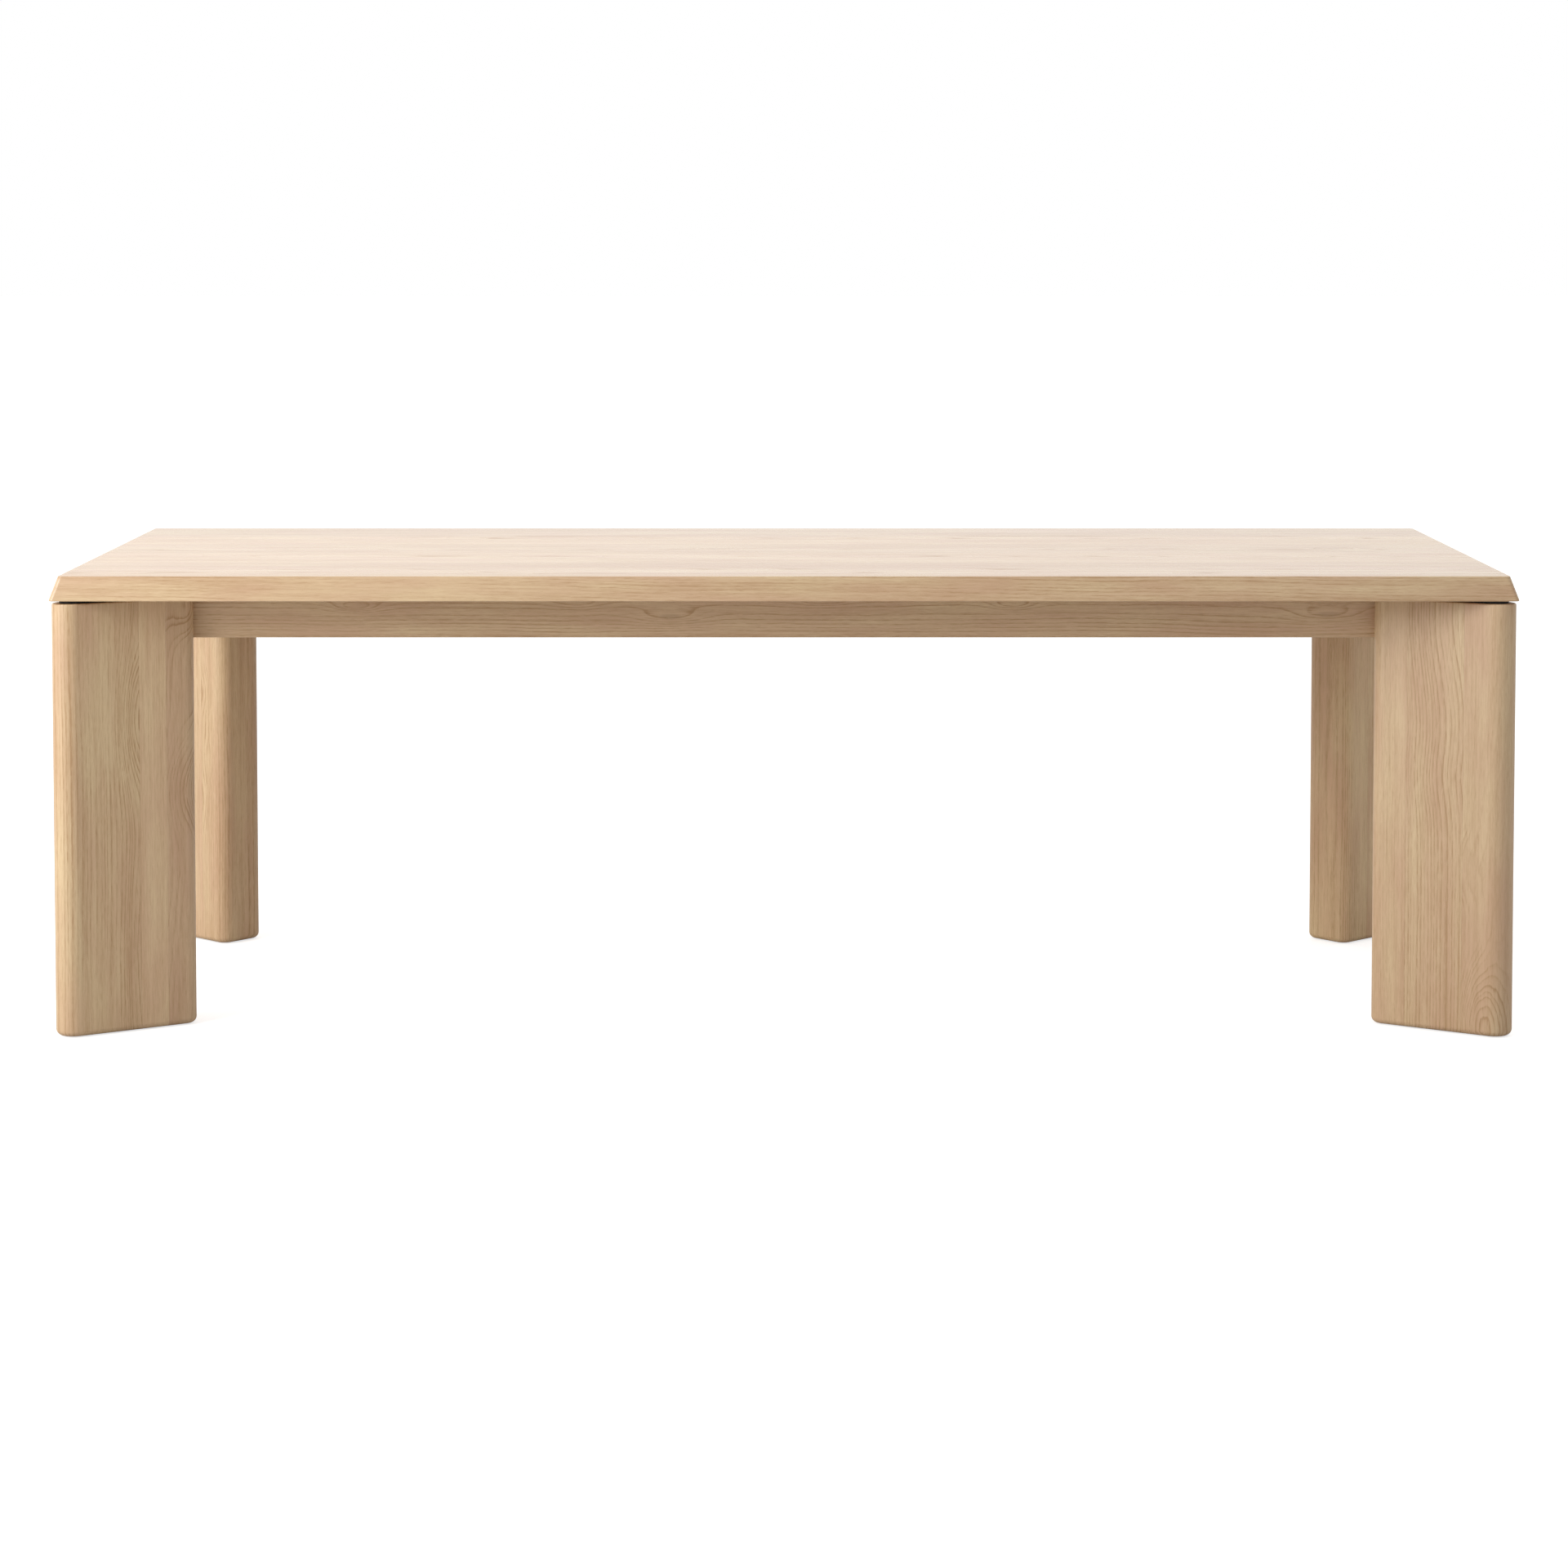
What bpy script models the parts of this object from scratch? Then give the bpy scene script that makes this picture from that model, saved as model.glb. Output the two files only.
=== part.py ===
"""Rectangular solid oak table with bevelled top edges and four diagonal wedge legs.

Metres, +Z up. The origin is on the floor under the middle of the top, +X runs along the
length and -Y is the front. The top is glued up from lengthwise boards. It stands on an
apron frame and on four legs, each glued up from three staves and hung from a steel plate
that leaves a thin shadow gap under the top. Each leg has a screw-in levelling foot.
"""

import math

import bmesh
import bpy
from mathutils import Vector

# Overall size
LENGTH = 2.400
DEPTH = 1.000
HEIGHT = 0.760
FIT_GAP = 0.0003

# Top
TOP_THICKNESS = 0.040
TOP_BEVEL = 0.0132
TOP_CORNER_RADIUS = 0.008
TOP_LOWER_ARRIS = 0.0015
BOARD_JOINTS = (-0.370, -0.233, -0.050, 0.130, 0.295)
UNDERSIDE = HEIGHT - TOP_THICKNESS

# Apron frame
RAIL_HEIGHT = 0.075
RAIL_THICKNESS = 0.028
RAIL_ARRIS = 0.0015
LONG_RAIL_FACE = 0.353
END_RAIL_FACE = 1.082
RAIL_TOP = UNDERSIDE - FIT_GAP
RAIL_BOTTOM = UNDERSIDE - RAIL_HEIGHT
BEARER_WIDTH = 0.060
BEARER_HEIGHT = 0.045
BEARER_PLACE = 0.400
BEARER_HOUSING = 0.008
BEARER_SCREW_PLACE = 0.180
BEARER_SCREW_TIP = 0.742

# Leg plan: a wedge with a round nose at the corner of the top and a wide inner end
NOSE_RADIUS = 0.030
NOSE_X = LENGTH / 2 - NOSE_RADIUS - 0.001
NOSE_Y = DEPTH / 2 - NOSE_RADIUS
FACE_ANGLE = math.radians(31.9)
BACK_ANGLE = math.radians(43.4)
END_ANGLE = math.radians(131.0)
END_DISTANCE = 0.2077
INNER_RADIUS = 0.0233
LEG_BOTTOM = 0.0015
LEG_BOTTOM_RADIUS = 0.0105
LEG_TOP_RADIUS = 0.0025
BOTTOM_STEPS = 3
TOP_STEPS = 1
NOSE_STEPS = 10
INNER_STEPS = 5
SHADOW_GAP = 0.005
LEG_TOP = UNDERSIDE - SHADOW_GAP
AXIS_ANGLE = (FACE_ANGLE + BACK_ANGLE) / 2
STAVE_JOINTS = {
    "front_left": (0.103, 0.150),
    "front_right": (0.042, 0.142),
    "back_left": (0.055, 0.145),
    "back_right": (0.048, 0.140),
}

# Steel plate on top of each leg, with a gusset in the corner of the apron frame
PLATE_INSET = 0.012
PLATE_RAIL_GAP = 0.0006
GUSSET_LONG = 0.240
GUSSET_DEEP = 0.245
GUSSET_CLIP_X = 0.080
GUSSET_CLIP_Y = 0.067
PLATE_BOLTS = ((0.215, 0.161), (0.137, 0.215))
LEG_SCREWS = (0.020, 0.128)

# M8 hardware
THREAD_RADIUS = 0.004
HOLE_RADIUS = 0.0044
COUNTERSINK_RADIUS = 0.008
COUNTERSINK_DEPTH = 0.004
LEG_SCREW_LENGTH = 0.060
PLATE_BOLT_TIP = 0.745
BOLT_HEAD_RADIUS = 0.0068
BOLT_HEAD_HEIGHT = 0.0050
SOCKET_RADIUS = 0.0025
SOCKET_DEPTH = 0.0025

# Levelling foot
FOOT_PLACE = 0.078
PAD_RADIUS = 0.018
PAD_HEIGHT = 0.008
RECESS_RADIUS = 0.0205
RECESS_TOP = 0.0165
INSERT_RADIUS = 0.007
INSERT_LENGTH = 0.025
STUD_TOP = 0.054
STUD_HOLE_TOP = 0.060
FOOT_SEGMENTS = 16

CORNERS = {
    "front_left": (1, 1),
    "front_right": (-1, 1),
    "back_left": (1, -1),
    "back_right": (-1, -1),
}


# ---------------------------------------------------------------- scene and materials


def clear_scene():
    """Remove whatever the open scene holds."""
    for item in list(bpy.data.objects):
        bpy.data.objects.remove(item)


def make_material(name, colour, roughness, metallic=0.0):
    """A Principled BSDF with one colour, roughness and metallic value."""
    material = bpy.data.materials.new(name)
    material.use_nodes = True
    shader = material.node_tree.nodes["Principled BSDF"]
    shader.inputs["Base Color"].default_value = (*colour, 1.0)
    shader.inputs["Roughness"].default_value = roughness
    shader.inputs["Metallic"].default_value = metallic
    return material


def add_empty(name, location=(0, 0, 0), parent=None):
    """An empty that carries a group of pieces."""
    empty = bpy.data.objects.new(name, None)
    empty.location = location
    empty.parent = parent
    bpy.context.scene.collection.objects.link(empty)
    return empty


def add_object(name, mesh, parent=None, location=(0, 0, 0), material=None):
    """One named piece, placed by its location under its parent."""
    piece = bpy.data.objects.new(name, mesh)
    piece.location = location
    piece.parent = parent
    if material is not None:
        mesh.materials.append(material)
    bpy.context.scene.collection.objects.link(piece)
    return piece


def add_cutter(name, mesh, parent=None, location=(0, 0, 0)):
    """A hidden body that Boolean modifiers take away from pieces."""
    cutter = add_object(name, mesh, parent, location)
    cutter.hide_render = True
    cutter.display_type = "WIRE"
    return cutter


def cut(piece, cutter):
    """Take the cutter away from the piece."""
    modifier = piece.modifiers.new("Cut", "BOOLEAN")
    modifier.operation = "DIFFERENCE"
    modifier.solver = "EXACT"
    modifier.object = cutter


# ---------------------------------------------------------------- mesh building


def loft(name, rings):
    """A closed body through rings of points that all have the same count."""
    shape = bmesh.new()
    loops = [[shape.verts.new(point) for point in ring] for ring in rings]
    for lower, upper in zip(loops, loops[1:]):
        for i, corner in enumerate(lower):
            j = (i + 1) % len(lower)
            shape.faces.new((corner, lower[j], upper[j], upper[i]))
    shape.faces.new(list(reversed(loops[0])))
    shape.faces.new(loops[-1])
    return finish_mesh(name, shape)


def finish_mesh(name, shape):
    """Turn the faces outwards, shade smooth with sharp edges, and store the mesh."""
    bmesh.ops.recalc_face_normals(shape, faces=shape.faces)
    mesh = bpy.data.meshes.new(name)
    shape.to_mesh(mesh)
    shape.free()
    mesh.shade_smooth()
    mesh.set_sharp_from_angle(angle=math.radians(32))
    return mesh


def at_height(outline, height):
    """Lift a plan outline to a height."""
    return [(x, y, height) for x, y in outline]


def turned(name, profile, segments=12):
    """A body turned about Z from (radius, height) pairs, listed from one pole to the other."""
    turns = [math.tau * k / segments for k in range(segments)]
    rings = [[(r * math.cos(a), r * math.sin(a), z) for a in turns] for r, z in profile]
    return loft(name, rings)


def hexagon_radius(turn, across_flats):
    """Distance from the middle of a hexagon to its side in one direction."""
    return across_flats / 2 / math.cos((turn + math.pi / 6) % (math.pi / 3) - math.pi / 6)


def arc(centre, radius, start, end, steps):
    """Points of a counter-clockwise plan arc, both ends included."""
    while end < start:
        end += math.tau
    turns = [start + (end - start) * k / steps for k in range(steps + 1)]
    return [(centre[0] + radius * math.cos(a), centre[1] + radius * math.sin(a)) for a in turns]


def meet(angle_a, distance_a, angle_b, distance_b):
    """Where two plan lines cross, each given by its normal's angle and its distance."""
    ax, ay = math.cos(angle_a), math.sin(angle_a)
    bx, by = math.cos(angle_b), math.sin(angle_b)
    scale = ax * by - ay * bx
    x = (distance_a * by - distance_b * ay) / scale
    y = (distance_b * ax - distance_a * bx) / scale
    return (x, y)


# ---------------------------------------------------------------- top


def top_outline(inset, low, high):
    """Plan of the top drawn in by inset, clipped to the strip from low to high in Y."""
    half_x = LENGTH / 2 - inset
    half_y = DEPTH / 2 - inset
    radius = TOP_CORNER_RADIUS
    points = []
    if low is None:
        for side, start in ((-1, math.pi), (1, 1.5 * math.pi)):
            centre = (side * (half_x - radius), -half_y + radius)
            points += arc(centre, radius, start, start + math.pi / 2, 3)
    else:
        points += [(-half_x, low + FIT_GAP / 2), (half_x, low + FIT_GAP / 2)]
    if high is None:
        for side, start in ((1, 0), (-1, math.pi / 2)):
            centre = (side * (half_x - radius), half_y - radius)
            points += arc(centre, radius, start, start + math.pi / 2, 3)
    else:
        points += [(half_x, high - FIT_GAP / 2), (-half_x, high - FIT_GAP / 2)]
    return points


def make_board(name, low, high, parent, material):
    """One lengthwise board of the top, with sloping outer edges and a softened lower arris."""
    lower = top_outline(TOP_LOWER_ARRIS, low, high)
    widest = top_outline(0, low, high)
    upper = top_outline(TOP_BEVEL, low, high)
    rings = [
        at_height(lower, 0),
        at_height(widest, TOP_LOWER_ARRIS),
        at_height(upper, TOP_THICKNESS),
    ]
    return add_object(name, loft(name, rings), parent, (0, 0, UNDERSIDE), material)


def make_top(parent, material):
    """Six boards from front to back."""
    edges = (None, *BOARD_JOINTS, None)
    boards = []
    for k, (low, high) in enumerate(zip(edges, edges[1:]), 1):
        boards.append(make_board(f"top_board_{k}", low, high, parent, material))
    return boards


# ---------------------------------------------------------------- apron frame


def face_line(normal_angle, distance, place, axis):
    """Where a leg face's line passes a given local x (axis 0) or local y (axis 1)."""
    x, y = math.cos(normal_angle), math.sin(normal_angle)
    if axis == 0:
        return (distance - x * place) / y
    return (distance - y * place) / x


def rail_rings(outer, inner, end_outer, end_inner):
    """Cross-section rings of a rail that runs along X, with ends cut to the legs."""
    section = (
        (outer, RAIL_BOTTOM + RAIL_ARRIS),
        (outer + RAIL_ARRIS, RAIL_BOTTOM),
        (inner - RAIL_ARRIS, RAIL_BOTTOM),
        (inner, RAIL_BOTTOM + RAIL_ARRIS),
        (inner, RAIL_TOP),
        (outer, RAIL_TOP),
    )
    rings = []
    for side in (-1, 1):
        ring = []
        for y, z in section:
            share = (y - outer) / (inner - outer)
            ring.append((side * (end_outer + share * (end_inner - end_outer)), y, z))
        rings.append(ring)
    return rings


def mirrored(rings, axis):
    """Rings with one coordinate negated."""
    return [[tuple(-c if k == axis else c for k, c in enumerate(p)) for p in ring] for ring in rings]


def swapped(rings):
    """Rings with x and y exchanged."""
    return [[(y, x, z) for x, y, z in ring] for ring in rings]


def make_long_rails(parent, material):
    """Front and back aprons. Their ends lie against the inner ends of the legs."""
    rail_outer = -LONG_RAIL_FACE
    rail_inner = rail_outer + RAIL_THICKNESS
    ends = []
    for y in (rail_outer, rail_inner):
        local = face_line(END_ANGLE - math.pi / 2, END_DISTANCE + FIT_GAP, y + NOSE_Y, 1)
        ends.append(NOSE_X - local)
    rings = rail_rings(rail_outer, rail_inner, *ends)
    front = add_object("long_rail_front", loft("long_rail_front", rings), parent, material=material)
    mesh = loft("long_rail_back", mirrored(rings, 1))
    back = add_object("long_rail_back", mesh, parent, material=material)
    return front, back


def make_end_rails(parent, material):
    """Left and right aprons. Their ends lie against the back faces of the legs."""
    rail_outer = -END_RAIL_FACE
    rail_inner = rail_outer + RAIL_THICKNESS
    ends = []
    for x in (rail_outer, rail_inner):
        local = face_line(BACK_ANGLE + math.pi / 2, NOSE_RADIUS + FIT_GAP, x + NOSE_X, 0)
        ends.append(NOSE_Y - local)
    rings = swapped(rail_rings(rail_outer, rail_inner, *ends))
    add_object("end_rail_left", loft("end_rail_left", rings), parent, material=material)
    mesh = loft("end_rail_right", mirrored(rings, 0))
    add_object("end_rail_right", mesh, parent, material=material)


def box_rings(half_x, half_y, low, high):
    """Two rectangular rings of an upright box."""
    plan = [(-half_x, -half_y), (half_x, -half_y), (half_x, half_y), (-half_x, half_y)]
    return [at_height(plan, low), at_height(plan, high)]


def make_bearer(side, place, rails, boards, parent, oak, steel):
    """A cross bearer housed in both long rails and screwed up into the top."""
    inner_face = LONG_RAIL_FACE - RAIL_THICKNESS
    half_y = inner_face + BEARER_HOUSING
    half_x = BEARER_WIDTH / 2
    low = RAIL_TOP - BEARER_HEIGHT
    name = f"cross_bearer_{side}"
    mesh = loft(name, box_rings(half_x, half_y, low, RAIL_TOP))
    bearer = add_object(name, mesh, parent, (place, 0, 0), oak)
    housing = box_rings(half_x + FIT_GAP, half_y + FIT_GAP, low - FIT_GAP, RAIL_TOP + FIT_GAP)
    cutter = add_cutter(f"housing_{side}", loft(f"housing_{side}", housing), parent, (place, 0, 0))
    for rail in rails:
        cut(rail, cutter)
    for label, y in (("front", -BEARER_SCREW_PLACE), ("back", BEARER_SCREW_PLACE)):
        hole = screw_hole(f"screw_hole_{side}_{label}", low, parent, (place, y, 0))
        cut(bearer, hole)
        for board in boards:
            cut(board, hole)
        mesh = bearer_screw(f"bearer_screw_{side}_{label}", low)
        add_object(f"bearer_screw_{side}_{label}", mesh, parent, (place, y, 0), steel)


def screw_hole(name, low, parent, location):
    """Counterbored hole up through a bearer and into the top."""
    profile = (
        (0.0075, low - 0.001),
        (0.0075, low + 0.0120),
        (0.0032, low + 0.0120),
        (0.0032, BEARER_SCREW_TIP + 0.001),
    )
    return add_cutter(name, turned(name, profile), parent, location)


def bearer_screw(name, low):
    """A pan-head wood screw with a square-bottomed drive recess."""
    seat = low + 0.0120 - FIT_GAP
    profile = (
        (0.0014, seat - 0.0015),
        (0.0014, seat - 0.0032),
        (0.0045, seat - 0.0032),
        (0.0058, seat - 0.0018),
        (0.0058, seat),
        (0.0026, seat),
        (0.0026, BEARER_SCREW_TIP - 0.006),
        (0.0006, BEARER_SCREW_TIP),
    )
    return turned(name, profile)


# ---------------------------------------------------------------- legs


def leg_outline(inset):
    """Plan of a leg about its nose centre, x and y pointing in from the corner of the table."""
    face = FACE_ANGLE - math.pi / 2
    end = END_ANGLE - math.pi / 2
    back = BACK_ANGLE + math.pi / 2
    near = meet(face, NOSE_RADIUS - INNER_RADIUS, end, END_DISTANCE - INNER_RADIUS)
    far = meet(end, END_DISTANCE - INNER_RADIUS, back, NOSE_RADIUS - INNER_RADIUS)
    points = arc((0, 0), NOSE_RADIUS - inset, back, face, NOSE_STEPS)
    points += arc(near, INNER_RADIUS - inset, face, end, INNER_STEPS)
    points += arc(far, INNER_RADIUS - inset, end, back, INNER_STEPS)
    return points


def flipped(outline, corner):
    """The outline turned over for a corner of the table."""
    along, across = CORNERS[corner]
    return [(along * x, across * y) for x, y in outline]


def leg_shape(corner):
    """A whole leg as a bmesh, rounded round its foot and eased round its top."""
    levels = []
    for k in range(BOTTOM_STEPS + 1):
        turn = math.pi / 2 * k / BOTTOM_STEPS
        inset = LEG_BOTTOM_RADIUS * (1 - math.sin(turn))
        levels.append((inset, LEG_BOTTOM_RADIUS * (1 - math.cos(turn))))
    for k in range(TOP_STEPS + 1):
        turn = math.pi / 2 * k / TOP_STEPS
        height = LEG_TOP - LEG_BOTTOM - LEG_TOP_RADIUS * (1 - math.sin(turn))
        levels.append((LEG_TOP_RADIUS * (1 - math.cos(turn)), height))
    rings = [at_height(flipped(leg_outline(inset), corner), height) for inset, height in levels]
    mesh = loft(f"leg_{corner}", rings)
    shape = bmesh.new()
    shape.from_mesh(mesh)
    bpy.data.meshes.remove(mesh)
    return shape


def axis_point(distance, corner):
    """A point on the leg's long plan axis, measured from the nose centre."""
    along, across = CORNERS[corner]
    return Vector((along * distance * math.cos(AXIS_ANGLE), across * distance * math.sin(AXIS_ANGLE), 0))


def keep_side(shape, point, direction):
    """Slice the body at a plane, keep the side that direction points to, and close it."""
    everything = list(shape.verts) + list(shape.edges) + list(shape.faces)
    bmesh.ops.bisect_plane(
        shape, geom=everything, dist=1e-6, plane_co=point, plane_no=direction, clear_inner=True
    )
    rim = [edge for edge in shape.edges if edge.is_boundary]
    bmesh.ops.edgeloop_fill(shape, edges=rim)


def make_staves(corner, empty, material):
    """Three staves that are glued side by side across the leg's long plan axis."""
    axis = axis_point(1, corner)
    edges = (None, *STAVE_JOINTS[corner], None)
    staves = []
    for k, (low, high) in enumerate(zip(edges, edges[1:]), 1):
        shape = leg_shape(corner)
        if low is not None:
            keep_side(shape, axis_point(low + FIT_GAP / 2, corner), axis)
        if high is not None:
            keep_side(shape, axis_point(high - FIT_GAP / 2, corner), -axis)
        name = f"leg_{corner}_stave_{k}"
        staves.append(add_object(name, finish_mesh(name, shape), empty, (0, 0, LEG_BOTTOM), material))
    return staves


def stave_at(staves, corner, distance):
    """The stave that holds a place along the leg's plan axis."""
    joints = STAVE_JOINTS[corner]
    return staves[sum(distance > joint for joint in joints)]


def plate_outline():
    """Plan of a leg plate: the leg's own plan drawn in, and a clipped gusset in the apron corner."""
    face = FACE_ANGLE - math.pi / 2
    end = END_ANGLE - math.pi / 2
    back = BACK_ANGLE + math.pi / 2
    rail_y = NOSE_Y - LONG_RAIL_FACE + RAIL_THICKNESS + PLATE_RAIL_GAP
    rail_x = NOSE_X - END_RAIL_FACE + RAIL_THICKNESS + PLATE_RAIL_GAP
    near = meet(face, NOSE_RADIUS - INNER_RADIUS, end, END_DISTANCE - INNER_RADIUS)
    points = arc((0, 0), NOSE_RADIUS - PLATE_INSET, back, face, 8)
    points += arc(near, INNER_RADIUS - PLATE_INSET, face, end, 4)
    points.append((face_line(end, END_DISTANCE - PLATE_INSET, rail_y, 1), rail_y))
    points.append((GUSSET_LONG, rail_y))
    points.append((GUSSET_LONG, GUSSET_DEEP - GUSSET_CLIP_Y))
    points.append((GUSSET_LONG - GUSSET_CLIP_X, GUSSET_DEEP))
    points.append((rail_x, GUSSET_DEEP))
    points.append((rail_x, face_line(back, NOSE_RADIUS - PLATE_INSET, rail_x, 0)))
    return points


def make_plate(corner, empty, material):
    """The steel plate between a leg and the top."""
    outline = flipped(plate_outline(), corner)
    rings = [at_height(outline, LEG_TOP + FIT_GAP), at_height(outline, UNDERSIDE - FIT_GAP)]
    name = f"leg_plate_{corner}"
    return add_object(name, loft(name, rings), empty, material=material)


def leg_screw(name):
    """Countersunk M8 socket screw, its head's top at the origin."""
    tip = -LEG_SCREW_LENGTH
    profile = (
        (SOCKET_RADIUS, -SOCKET_DEPTH),
        (SOCKET_RADIUS, 0),
        (COUNTERSINK_RADIUS - 0.0004, 0),
        (COUNTERSINK_RADIUS, -0.0004),
        (THREAD_RADIUS, -COUNTERSINK_DEPTH),
        (THREAD_RADIUS, tip + 0.001),
        (THREAD_RADIUS - 0.001, tip),
    )
    return turned(name, profile)


def leg_screw_hole(name, empty, location):
    """Countersunk hole through the plate and down into the leg."""
    profile = (
        (COUNTERSINK_RADIUS + 0.0010, 0.0010),
        (COUNTERSINK_RADIUS + 0.0004, -0.0004),
        (HOLE_RADIUS, -COUNTERSINK_DEPTH),
        (HOLE_RADIUS, -LEG_SCREW_LENGTH - 0.001),
    )
    return add_cutter(name, turned(name, profile), empty, location)


def make_leg_screws(corner, empty, plate, staves, material):
    """Two countersunk screws that hang the leg from its plate."""
    for k, distance in enumerate(LEG_SCREWS, 1):
        place = axis_point(distance, corner) + Vector((0, 0, UNDERSIDE - 2 * FIT_GAP))
        hole = leg_screw_hole(f"leg_screw_hole_{corner}_{k}", empty, place)
        cut(plate, hole)
        cut(stave_at(staves, corner, distance), hole)
        name = f"leg_screw_{corner}_{k}"
        add_object(name, leg_screw(name), empty, place, material)


def plate_bolt(name):
    """M8 button-head bolt pointing up, the seat of its head at the origin."""
    shank = PLATE_BOLT_TIP - LEG_TOP
    profile = (
        (SOCKET_RADIUS, SOCKET_DEPTH - BOLT_HEAD_HEIGHT),
        (SOCKET_RADIUS, -BOLT_HEAD_HEIGHT),
        (BOLT_HEAD_RADIUS - 0.0018, -BOLT_HEAD_HEIGHT),
        (BOLT_HEAD_RADIUS, -BOLT_HEAD_HEIGHT / 2),
        (BOLT_HEAD_RADIUS, 0),
        (THREAD_RADIUS, 0),
        (THREAD_RADIUS, shank - 0.001),
        (THREAD_RADIUS - 0.001, shank),
    )
    return turned(name, profile)


def make_plate_bolts(corner, empty, plate, boards, material):
    """Two bolts up through the gusset into the top."""
    for k, (x, y) in enumerate(flipped(PLATE_BOLTS, corner), 1):
        hole = turned(f"plate_bolt_hole_{corner}_{k}", ((HOLE_RADIUS, -0.001), (HOLE_RADIUS, 0.031)))
        cutter = add_cutter(f"plate_bolt_hole_{corner}_{k}", hole, empty, (x, y, LEG_TOP))
        cut(plate, cutter)
        cut(board_at(boards, empty.location.y + y), cutter)
        name = f"plate_bolt_{corner}_{k}"
        add_object(name, plate_bolt(name), empty, (x, y, LEG_TOP), material)


def board_at(boards, y):
    """The board of the top that lies over a place in Y."""
    return boards[sum(y > joint for joint in BOARD_JOINTS)]


# ---------------------------------------------------------------- levelling feet


def foot_recess(name, empty, location):
    """Stepped hole in the foot of a leg for the pad, the threaded insert and the stud."""
    profile = (
        (RECESS_RADIUS, -0.001),
        (RECESS_RADIUS, RECESS_TOP),
        (INSERT_RADIUS + FIT_GAP, RECESS_TOP),
        (INSERT_RADIUS + FIT_GAP, RECESS_TOP + INSERT_LENGTH + FIT_GAP),
        (THREAD_RADIUS + 0.0008, RECESS_TOP + INSERT_LENGTH + FIT_GAP),
        (THREAD_RADIUS + 0.0008, STUD_HOLE_TOP),
    )
    return add_cutter(name, turned(name, profile, FOOT_SEGMENTS), empty, location)


def insert_mesh(name):
    """Threaded steel sleeve with an open bore."""
    low = RECESS_TOP + FIT_GAP
    high = RECESS_TOP + INSERT_LENGTH
    bore = THREAD_RADIUS + 0.0004
    profile = ((bore, low), (INSERT_RADIUS, low), (INSERT_RADIUS, high), (bore, high))
    segments = FOOT_SEGMENTS
    shape = bmesh.new()
    turns = [math.tau * k / segments for k in range(segments)]
    loops = [[shape.verts.new((r * math.cos(a), r * math.sin(a), z)) for a in turns] for r, z in profile]
    for ring, following in zip(loops, loops[1:] + loops[:1]):
        for i, corner in enumerate(ring):
            j = (i + 1) % segments
            shape.faces.new((corner, ring[j], following[j], following[i]))
    return finish_mesh(name, shape)


def stud_mesh(name):
    """M8 stud with a hexagon collar and a ball end that sits in the pad."""
    across_flats = 0.013
    segments = 12
    levels = (
        (0.0030, 0.0035, False),
        (0.0044, 0.0050, False),
        (0.0044, 0.0070, False),
        (0.0036, 0.0080, False),
        (0.0036, 0.0088, False),
        (across_flats, 0.0088, True),
        (across_flats, 0.0143, True),
        (THREAD_RADIUS, 0.0143, False),
        (THREAD_RADIUS, STUD_TOP - 0.001, False),
        (THREAD_RADIUS - 0.001, STUD_TOP, False),
    )
    turns = [math.tau * k / segments for k in range(segments)]
    rings = []
    for size, z, hexagonal in levels:
        ring = []
        for turn in turns:
            radius = hexagon_radius(turn, size) if hexagonal else size
            ring.append((radius * math.cos(turn), radius * math.sin(turn), z))
        rings.append(ring)
    return loft(name, rings)


def pad_mesh(name):
    """Round nylon pad with a socket for the stud's ball end."""
    socket = 0.0048
    profile = (
        (socket, 0.0031),
        (socket, PAD_HEIGHT),
        (PAD_RADIUS - 0.0070, PAD_HEIGHT),
        (PAD_RADIUS, PAD_HEIGHT - 0.0035),
        (PAD_RADIUS, 0.0012),
        (PAD_RADIUS - 0.0012, 0),
    )
    return turned(name, profile, FOOT_SEGMENTS)


def make_foot(corner, empty, staves, materials):
    """A levelling foot: sleeve, stud and pad on one upright axis."""
    place = axis_point(FOOT_PLACE, corner)
    recess = foot_recess(f"foot_recess_{corner}", empty, place)
    cut(stave_at(staves, corner, FOOT_PLACE), recess)
    axis = add_empty(f"foot_axis_{corner}", place, empty)
    name = f"foot_insert_{corner}"
    add_object(name, insert_mesh(name), axis, material=materials["zinc"])
    name = f"foot_stud_{corner}"
    add_object(name, stud_mesh(name), axis, material=materials["zinc"])
    name = f"foot_pad_{corner}"
    add_object(name, pad_mesh(name), axis, material=materials["nylon"])


# ---------------------------------------------------------------- assembly


def make_leg(corner, parent, boards, materials):
    """A leg with its plate, fasteners and levelling foot at one corner of the table."""
    along, across = CORNERS[corner]
    empty = add_empty(f"corner_{corner}", (-along * NOSE_X, -across * NOSE_Y, 0), parent)
    staves = make_staves(corner, empty, materials["leg_oak"])
    plate = make_plate(corner, empty, materials["black_steel"])
    make_leg_screws(corner, empty, plate, staves, materials["zinc"])
    make_plate_bolts(corner, empty, plate, boards, materials["zinc"])
    make_foot(corner, empty, staves, materials)


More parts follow.
